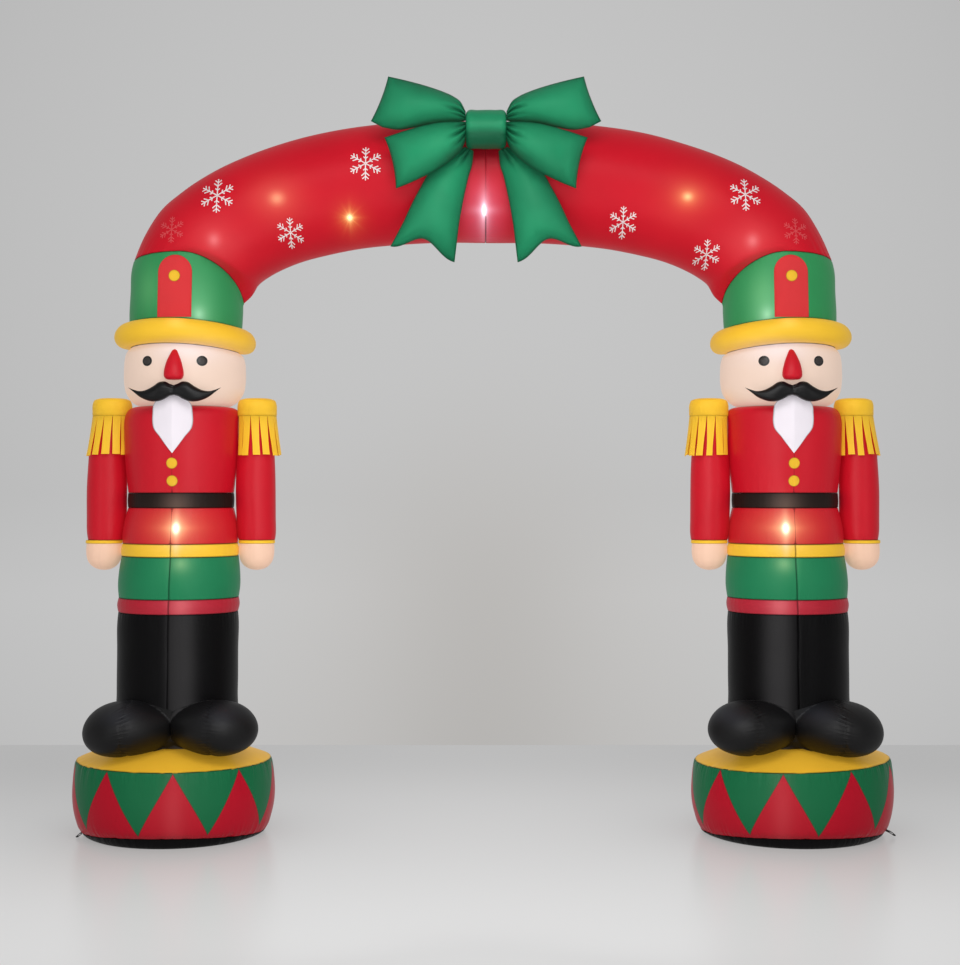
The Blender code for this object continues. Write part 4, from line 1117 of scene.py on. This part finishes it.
def beard(prefix, side):
    """A flat pointed piece of white cloth, folded down its middle."""
    rows, _ = through([[row] for row in BEARD], 0.006, ())
    shares = np.concatenate([np.linspace(-1, 0, 14), np.linspace(0, 1, 14)[1:]])
    z, half, fold, edge = rows[:, 0].T[..., None]
    x = out_at(1.56) + 0.004 + half * shares
    z = np.broadcast_to(z, x.shape)
    y = edge + (fold - edge) * (1 - np.abs(shares) ** 1.15)
    draw = np.random.default_rng(101)
    sway = 0.0006 * np.sin(z * 75 + 3 * x / 0.07 + draw.uniform(0, 6))
    front = np.stack([x, y + sway, z], axis=-1)
    points = np.stack([front, front + (0.0, BEARD_THICKNESS, 0.0)]).reshape(-1, 3) * (side, 1, 1)
    count, wide = x.shape
    corners = [i * wide + k for i in range(count - 1) for k in range(wide - 1)]
    faces = doubled([(a, a + 1, a + 1 + wide, a + wide) for a in corners], x.size)
    marks = {"seam": np.tile((1 - np.abs(shares)) * 0.06, 2 * count)}
    node = prefix + "beard"
    obj = built(
        node + "_cloth", points.tolist(), faces, "white_cloth", marks, 12, node
    )


# ---------------------------------------------------------------- prints and sewn-on details
def patch(name, shape, host, material, slot, lift=0.0008, bulge=0.0):
    """A thin piece laid on the front of host: its points are (sideways, height, share from rim)."""
    outline, faces = shape
    mesh = host.data
    hits = BVHTree.FromPolygons([v.co for v in mesh.vertices], [p.vertices for p in mesh.polygons])
    top, bottom = [], []
    for x, z, share in outline:
        spot, normal, _, _ = hits.ray_cast(Vector((x, -2.0, z)), Vector((0, 1, 0)))
        if spot is None:
            spot, normal, _, _ = hits.find_nearest(Vector((x, -0.25, z)))
        normal = normal if normal.y < 0 else -normal
        top.append(spot + normal * (lift + bulge * math.sqrt(max(0.0, share))))
        bottom.append(spot - normal * PATCH_SINK)
    marks = {"seam": [share * 0.02 + 0.0005 for _, _, share in outline] * 2}
    points = [tuple(p) for p in top + bottom]
    built(name, points, doubled(faces, len(top)), material, marks, 50)


def disc(x, z, radius, rings=5, count=28):
    points, faces = [(x, z, 1.0)], []
    for i in range(1, rings + 1):
        for k in range(count):
            a = 2 * math.pi * k / count
            r = radius * math.sin(0.5 * math.pi * i / rings)
            points.append((x + r * math.cos(a), z + r * math.sin(a), 1 - (r / radius) ** 2))
    for i in range(rings):
        for k in range(count):
            a, b = 1 + (i - 1) * count + k, 1 + (i - 1) * count + (k + 1) % count
            faces.append((a, a + count, b + count, b) if i else (0, a + count, b + count))
    return points, faces


def arched_panel(x, half, top, foot_height, tilt):
    """Upright strip with a round top, as columns of points from its foot to its outline."""
    points, faces = [], []
    columns, rows = 16, 22
    for i in range(columns + 1):
        across = -math.cos(math.pi * i / columns) * half
        crest = top - half + math.sqrt(max(0.0, half**2 - across**2))
        for j in range(rows + 1):
            z = foot_height + (crest - foot_height) * j / rows
            near = min(half - abs(across), crest - z, 0.01) / 0.01
            points.append((x + across + tilt * (z - foot_height), z, max(0.0, near)))
            if i < columns and j < rows:
                a = i * (rows + 1) + j
                faces.append((a, a + rows + 1, a + rows + 2, a + 1))
    return points, faces


def snowflake(x, z, radius):
    """Six arms with three pairs of side branches each, as bars in the plane."""
    bars = []
    for a in np.radians(range(90, 450, 60)):
        way = np.array([math.cos(a), math.sin(a)]) * radius
        bars.append((way * 0.02, way))
        for share, reach in ((0.30, 0.17), (0.54, 0.30), (0.76, 0.24)):
            for b in (a - math.radians(50), a + math.radians(50)):
                branch = np.array([math.cos(b), math.sin(b)]) * radius * reach
                bars.append((way * share, way * share + branch))
    points, faces = [], []
    for start, end in bars:
        length = np.linalg.norm(end - start)
        along = (end - start) / length
        across = np.array([-along[1], along[0]]) * radius * 0.031
        pieces = max(2, round(length / 0.008))
        for i in range(pieces + 1):
            if i < pieces:
                a = len(points)
                faces.append((a, a + 1, a + 3, a + 2))
            spot = start + along * length * i / pieces
            points += [(x + p[0], z + p[1], 0.0) for p in (spot - across, spot + across)]
    return points, faces


def dress(prefix, side, chest, face, hat):
    """Eyes, buttons, the hat's panel and dot, and the drum's tether."""
    yellow = ("yellow_nylon", "yellow_fabric")
    middle = (out_at(1.70) + 0.004) * side
    sideways, height, radius = EYE
    for which, way in SIDES:
        x = middle + side * way * sideways
        eye, pupil = disc(x, height, radius), disc(x, height, radius * 0.66)
        patch(f"{prefix}eye_{which}", eye, face, "eye_print", "black_fabric", bulge=0.001)
        name = f"{prefix}pupil_{which}"
        patch(name, pupil, face, "pupil_print", "black_fabric", 0.0022, 0.001)
    x = out_at(1.34) * side
    for height, name in BUTTONS:
        button = disc(x, height, BUTTON_RADIUS)
        patch(f"{prefix}button_{name}", button, chest, *yellow, bulge=0.0016)
    half, top, foot_height = PANEL
    centre = (out_at(foot_height) + PANEL_SHIFT - 0.003) * side
    tilt = (out_at(top) - out_at(foot_height) + 0.008) / (top - foot_height) * side
    panel = arched_panel(centre, half, top, foot_height, tilt)
    patch(prefix + "hat_panel", panel, hat, "panel_nylon", "red_fabric", 0.001)
    height, radius = HAT_DOT
    x = (out_at(height) + PANEL_SHIFT + 0.003) * side
    patch(prefix + "hat_dot", disc(x, height, radius), hat, *yellow, 0.003, 0.0012)
    strap(prefix, side)


def foot_radius(y, height):
    seam = foot_seam(y / DRUM_BASE[-1][1])
    base = [(seam * share, radius) for share, radius in DRUM_BASE]
    return np.interp(height, *zip(*base, foot_curl(seam), *DRUM_SIDE))


def strap(prefix, side):
    """A doubled length of webbing sewn into the foot seam, its bend a little open."""
    outwards, upwards = STRAP_SHIFT[side]
    rows = [(r + outwards, z + upwards, (thick - WEBBING) / 2) for r, z, thick in STRAP]
    reach, z, half = rows[-1]
    bend = [(half * math.sin(a), half * math.cos(a)) for a in (0.5, 1.0, 1.57, 2.1, 2.6)]
    path = [(r, h + up) for r, h, up in rows] + [(reach + a, z + b) for a, b in bend]
    path = np.array(path + [(r, h - up) for r, h, up in rows[::-1]])
    along = np.gradient(path, axis=0)
    across = np.stack([-along[:, 1], along[:, 0]], axis=1)
    across *= WEBBING / 2 / np.linalg.norm(across, axis=1, keepdims=True)
    points = []
    for spot, off in zip(path, across):
        for way, edge in ((1, -1), (1, 1), (-1, 1), (-1, -1)):
            reach, z = spot + off * way
            y = STRAP_DEPTH + edge * STRAP_HALF_WIDTH
            wall = math.sqrt(foot_radius(y, z) ** 2 - y**2) + REST
            points.append((DRUM_OUT + max(reach, wall), y, max(z, 0.0006)))
    grid, node, sewn = np.array(points).reshape(-1, 4, 3), prefix + "tether_strap", (False, False)
    skin(node, grid, None, "strap_webbing", "webbing", side, None, sewn, name=node + "_web")


def soldier(prefix, side):
    drum(prefix, side)
    legs(prefix, side)
    for which, way in SIDES:
        foot(prefix, side, which, way)
    *_, chest = [stack(prefix, side, *piece) for piece in STACK]
    for which, way in SIDES:
        arm(prefix, side, which)
        epaulette(prefix, side, which, way)
    face = head(prefix, side)
    moustache(prefix, side)
    nose(prefix, side)
    beard(prefix, side)
    dress(prefix, side, chest, face, brim_and_hat(prefix, side))


# ---------------------------------------------------------------- arch and bow
def arch_ring(outer, outer_z, inner, inner_z, angles):
    outer, inner = np.array([outer, 0.0, outer_z]), np.array([inner, 0.0, inner_z])
    reach = (outer - inner) / 2
    depth = np.array([0.0, np.linalg.norm(reach), 0.0])
    ring_off = np.outer(np.cos(angles), reach) + np.outer(np.sin(angles), depth)
    return (outer + inner) / 2 + ring_off


def arch():
    angles = turn(208)
    halves = {}
    for name, side in (("arch_left", -1), ("arch_right", 1)):
        sections = [arch_ring(*row, angles) for row in ARCH_SECTIONS]
        seam = hat_seam(angles, GAP)
        shoulder = (seam + sections[0]) / 2
        middle = shoulder.mean(axis=0)
        shoulder = middle + (shoulder - middle) * ARCH_SWELL
        out = CROWN_SEAM * side + GAP / 2
        crown = arch_ring(out, ARCH_CROWN[0], out, ARCH_CROWN[1], angles)
        grid, at = blown("tube", [seam, shoulder, *sections, crown], int(side < 0))
        x, y, z = np.moveaxis(grid, -1, 0)
        above_lamp = np.maximum(z - CROWN_LAMP[1] + 0.02, 0.0) * (y < 0)
        line = (at[-1] - at)[:, None] + above_lamp  # the seam shows dark only below the lamp
        # Painted shadow of the knot on the front of the tube, beneath it
        share, half_width, height, reach = KNOT_SHADE
        fold = share * bell(x, half_width) * bell(z - height, reach) * np.clip(y / -0.1, 0.0, 1.0)
        looks, sewn = ("tube_nylon", "red_fabric", side, 0.9), (True, False)
        halves[side] = skin(name, grid, at, *looks, sewn, line, fold)
    for label, flakes, *looks in (
        ("snowflake", SNOWFLAKES, "white_print", "white_fabric", 0.0006),
        ("faint_snowflake", FAINT_SNOWFLAKES, "faint_print", "red_fabric", 0.0004),
    ):
        for number, flake in enumerate(flakes, 1):
            host = halves[1 if flake[0] > 0 else -1]
            patch(f"{label}_{number}", snowflake(*flake), host, *looks)


def puff(name, way, table, end, hollow, pleats, root_shade, low_shade, seed):
    """An air-filled pointed piece: two skins sewn round the edge, fullest along the middle, drawn
    in by pleats at the knot. Its far end is a hollow curve, or a tail's swallow-tail notch."""
    top_x, top_z, low_x, low_z, _ = end
    pull_in, deepest = hollow
    bend = math.log(deepest) / math.log(0.5)
    shares = (0.5 - 0.5 * np.cos(np.linspace(0, math.pi, BOW_COLUMNS + 1))) ** bend
    edge = np.minimum(shares, 1 - shares)

    def row(top_x, top_z, low_x, low_z, depth):
        x, z = top_x + (low_x - top_x) * shares, top_z + (low_z - top_z) * shares
        return np.stack([x, np.full_like(x, depth), z], axis=1)

    rows, at = through([[row] for row in table], 0.007, ())
    rows = rows[:, 0]
    back = np.array([top_z - low_z, low_x - top_x]) / math.hypot(low_x - top_x, low_z - top_z)
    if back @ (np.array(table[0][:2]) - (top_x, top_z)) < 0:
        back = -back
    pull = 1 - (2 * shares - 1) ** 2
    if "tail" in name:
        notch = np.minimum(shares / deepest, (1 - shares) / (1 - deepest)) ** NOTCH_POWER
        pull = notch**2 * (3 - 2 * notch)
    full = np.sin(math.pi * shares) ** 0.62
    tip = row(*end)
    tip[:, ::2] += np.outer(pull_in * pull, back)
    grid = [row(*r[:4], r[5]) for r in rows]
    halves = [r[4] * full for r in rows]
    last = grid[-1]
    for j in range(1, BOW_END_ROWS + 1):
        t = 1 - (1 - j / BOW_END_ROWS) ** 1.6
        grid.append(last + (tip - last) * t)
        halves.append(rows[-1][4] * full * math.sqrt(max(0.0, 1 - t**2)))
    grid, halves = np.array(grid), np.array(halves)
    ridge = np.linalg.norm(np.diff(grid[len(at) - 1 :, BOW_COLUMNS // 2], axis=0), axis=1)
    at = np.concatenate([at, at[-1] + np.cumsum(ridge)])[:, None]

    draw = np.random.default_rng(seed)
    press = np.zeros(halves.shape)
    for where, deep, reach, wide in pleats:
        line = where + draw.uniform(-0.02, 0.02) + 0.05 * np.sin(at * 9 + seed)
        off = (shares - line) / (wide * (1 + at / reach * 0.6))
        press += deep * bell(at, reach, 2.2) * bell(off, 1.0, 1.4)
    for mid, reach in zip(draw.uniform(0.05, at[-1, 0], 16), draw.uniform(0.05, 0.14, 16)):
        half = (shares < 0.5) == bool(draw.integers(0, 2))
        pinch = bell(at - mid, 0.006) * np.exp(-edge / reach) * half
        press += draw.uniform(0.0012, 0.0042) * pinch
    halves = np.maximum(halves - press, np.minimum(halves, 0.0015))
    # Painted shade: darker where the pleats press in, at the root by the knot and along the lower
    # edge
    fold = np.clip(press / 0.022 - 0.20, 0.0, 0.50) + root_shade * bell(at, 0.075)
    fold += low_shade * np.clip((shares - 0.62) / 0.38, 0.0, 1.0) ** 1.5 * bell(at, 0.22, 4)

    points, faces = [], []
    index = np.zeros((2, *halves.shape), int)
    last_row, last_column = len(grid) - 1, BOW_COLUMNS
    for s, i, k in np.ndindex(index.shape):
        shared = k in (0, last_column) or i == last_row
        if s and shared:
            index[1, i, k] = index[0, i, k]
            continue
        index[s, i, k] = len(points)
        x, y, z = grid[i, k]
        points.append((BOW_OUT + way * x, y + (0 if shared else (2 * s - 1) * halves[i, k]), z))
    for i, k, s in np.ndindex(last_row, last_column, 2):
        a, b, c, d = index[s, [i, i, i + 1, i + 1], [k, k + 1, k + 1, k]].tolist()
        if i == last_row - 1 and k in (0, last_column - 1):
            faces += [(a, b, c), (a, c, d)] if k else [(a, b, d), (b, c, d)]
        else:
            faces.append((a, b, c, d))
    for k in range(last_column):
        corners = index[[0, 0, 1, 1], 0, [k, k + 1, k + 1, k]].tolist()
        faces.append(tuple(dict.fromkeys(corners)))
    seam, dark = np.zeros(len(points)), np.zeros(len(points))
    width = np.linalg.norm(grid[:, 0] - grid[:, -1], axis=1)[:, None]
    seam[index] = np.minimum(edge * width, at[-1] - at)
    dark[index] = fold
    marks = {"seam": seam, "fold": dark}
    built(name + "_cloth", points, faces, "bow_nylon", marks, None, name)


def knot():
    depth, height = KNOT_MIDDLE
    angles = turn(120)
    rings = []
    for sideways, tall, deep in mirrored(KNOT) + KNOT[::-1]:
        y, z = depth + deep * np.cos(angles), height + tall * np.sin(angles)
        rings.append(np.stack([np.full_like(y, BOW_OUT + sideways), y, z], axis=1))
    grid, at = blown("knot", rings)
    # Painted shade on the knot's underside
    top, soon, dark = KNOT_LOW
    fold = np.clip((top - grid[..., 2]) / soon, 0.0, 1.0) * dark
    skin("bow_knot", grid, at, "bow_nylon", "bow_fabric", 1, 0.7, fold=fold)


# ---------------------------------------------------------------- studio
CAMERA_PLACE = (0.0, -6.457, 1.274)
CAMERA_LENS = 64.9875
CAMERA_SHIFT = (-3 / 960, 7.5 / 960)
FLOOR_HALF_WIDTH = 9.0
FLOOR_NEAR = 6.4
FLOOR_FAR = 2.20
BACKDROP_REACH = 8.657  # how far off the backdrop is taken to stand
BACKDROP_EYE = 1.274  # height at which it is level with the eye
BACKDROP_TONE = 0.560
BACKDROP_EDGE_TONE = 0.446
WARM_SHADE = (0.040, 0.052, 0.066)  # how much it takes from red, green and blue
MIRROR_SHADE = (0.020, 0.030, 0.034)  # the same for the archway's reflection in the floor
# The floor's painted light: its tone at the far edge and near the eye
FLOOR_FAR_TONE = 0.318
FLOOR_NEAR_TONE = 0.530
AMBIENT = 0.37
# Soft lights: name, place, aim, width, height, power
SOFTBOXES = [
    ("key", (0.0, -4.0, 4.3), (0.0, 0.0, 1.2), 3.6, 2.0, 96),
    ("front", (0.0, -5.8, 2.3), (0.0, 0.0, 1.4), 3.0, 1.4, 24),
]
for way in (-1, 1):
    SOFTBOXES += [
        (f"strip_{way}", (0.35 * way, -1.70, 1.3), (1.10 * way, 0.0, 1.2), 0.32, 2.0, 8),
        (f"side_{way}", (2.60 * way, -2.40, 1.5), (1.10 * way, 0.0, 1.2), 0.60, 2.4, 7),
    ]


def placed(name, data, place=(0.0, 0.0, 0.0)):
    obj = bpy.data.objects.new(name, data)
    obj.location = place
    bpy.context.scene.collection.objects.link(obj)
    return obj


def camera():
    data = bpy.data.cameras.new("camera")
    data.sensor_width = 36.0
    data.sensor_fit = "HORIZONTAL"
    data.lens = CAMERA_LENS
    data.shift_x, data.shift_y = CAMERA_SHIFT
    obj = placed("camera", data, CAMERA_PLACE)
    obj.rotation_euler = (math.radians(90), 0, 0)
    bpy.context.scene.camera = obj


def softbox(name, place, aim, width, height, power):
    data = bpy.data.lights.new(name, "AREA")
    data.shape = "RECTANGLE"
    data.size, data.size_y = width, height
    data.energy = power
    obj = placed(name, data, place)
    obj.rotation_euler = (Vector(aim) - Vector(place)).to_track_quat("-Z", "Y").to_euler()
    obj.visible_camera = False


def paper_floor():
    """One flat sheet of grey paper whose own glow paints its light and shade, and which takes only
    weak real shadows.
    """
    mesh = bpy.data.meshes.new("floor")
    near = [(-FLOOR_HALF_WIDTH, -FLOOR_NEAR, 0), (FLOOR_HALF_WIDTH, -FLOOR_NEAR, 0)]
    far = [(FLOOR_HALF_WIDTH, FLOOR_FAR, 0), (-FLOOR_HALF_WIDTH, FLOOR_FAR, 0)]
    mesh.from_pydata(near + far, [], [(0, 1, 2, 3)])
    material, tree, shader = shader_of("floor")
    inputs = {
        "Base Color": (0.15, 0.15, 0.15),
        "Roughness": 0.28,
        "Specular IOR Level": 0.09,
        "Emission Color": floor_tone(tree),
        "Emission Strength": 1.0,
    }
    fill(tree, shader, inputs)
    mesh.materials.append(material)
    sheet = placed("floor", mesh)


def surroundings(tree):
    """Plain dim air all round, and behind the archway a pale backdrop: brightest in its middle and
    dimmer at its edges, with a soft warm shade that widens down the middle."""
    across, back, up = split(tree, coordinates(tree, "Generated"))
    depth = back.math("MAXIMUM", 0.05)
    x = across / depth * BACKDROP_REACH
    z = up / depth * BACKDROP_REACH + BACKDROP_EYE
    rise = z - 2.3
    away = ((x * x) * 0.075 + (rise * rise) * 0.085).math("MINIMUM", 1.0)
    level = away * (BACKDROP_EDGE_TONE - BACKDROP_TONE) + BACKDROP_TONE
    spread = (z * -0.45 + 1.35).math("MAXIMUM", 0.2)
    shade = (x / spread).fade(1.0, 2.0) * (z - 0.45).fade(1.15, 3.0)
    low = ((z * -1.0 + 1.25) / 0.5).clipped() * (x.fade(0.55, 2.0) * -1.0 + 1.0) * 0.050
    shown = back.step(0.15, 0.25)
    tones = [(level - shade * deep + low - AMBIENT) * shown + AMBIENT for deep in WARM_SHADE]
    return add(tree, "CombineXYZ", enumerate(tones)).outputs[0]


def floor_tone(tree):
    """Painted light and shade: paler towards the eye, a painted pool of light in the middle and
    dimmer to the sides, with painted contact shadows round the drums and painted reflections of
    them.
    """
    x, y, _ = split(tree, coordinates(tree))
    near = ((y * -1.0 + 1.75) / 3.6).clipped()
    smooth = near * near * (near * -2.0 + 3.0)
    # painted pool of light in the middle
    centre = x.fade(1.3, 2.0) * ((y - 0.75) / 0.95).fade(1.0, 2.0)
    level = smooth * (FLOOR_NEAR_TONE - FLOOR_FAR_TONE) + FLOOR_FAR_TONE + centre * 0.040
    # painted contact shadow round each drum
    across = x.math("ABSOLUTE") - DRUM_OUT
    rim = (across * across + y * y).math("SQRT") - 0.31
    contact_shadow = rim.math("MAXIMUM", 0.0).fade(0.20) * 0.085
    # painted reflection of each drum in front of it
    mirror = (across / 0.40).fade(1.0, 4.0) * ((y + 0.45) / 0.55).fade(1.0, 2.0)
    level = level - contact_shadow - (x * x).math("MINIMUM", 2.5) * 0.010
    tones = [level - mirror * deep for deep in MIRROR_SHADE]
    return add(tree, "CombineXYZ", enumerate(tones)).outputs[0]


def studio():
    bpy.context.scene.view_settings.view_transform = "Standard"
    world = bpy.data.worlds.new("studio")
    bpy.context.scene.world = world
    world.use_nodes = True
    tree = world.node_tree
    fill(tree, tree.nodes["Background"], {"Color": surroundings(tree), "Strength": 1.0})
    paper_floor()
    for box in SOFTBOXES:
        softbox(*box)


camera()
for prefix, side in (("left_", -1), ("right_", 1)):
    soldier(prefix, side)
arch()
knot()
for number, (label, way) in enumerate((("left", -1), ("right", 1))):
    for piece, *sizes, seed in BOW:
        puff(f"bow_{piece}_{label}", way, *sizes, seed + number)
studio()
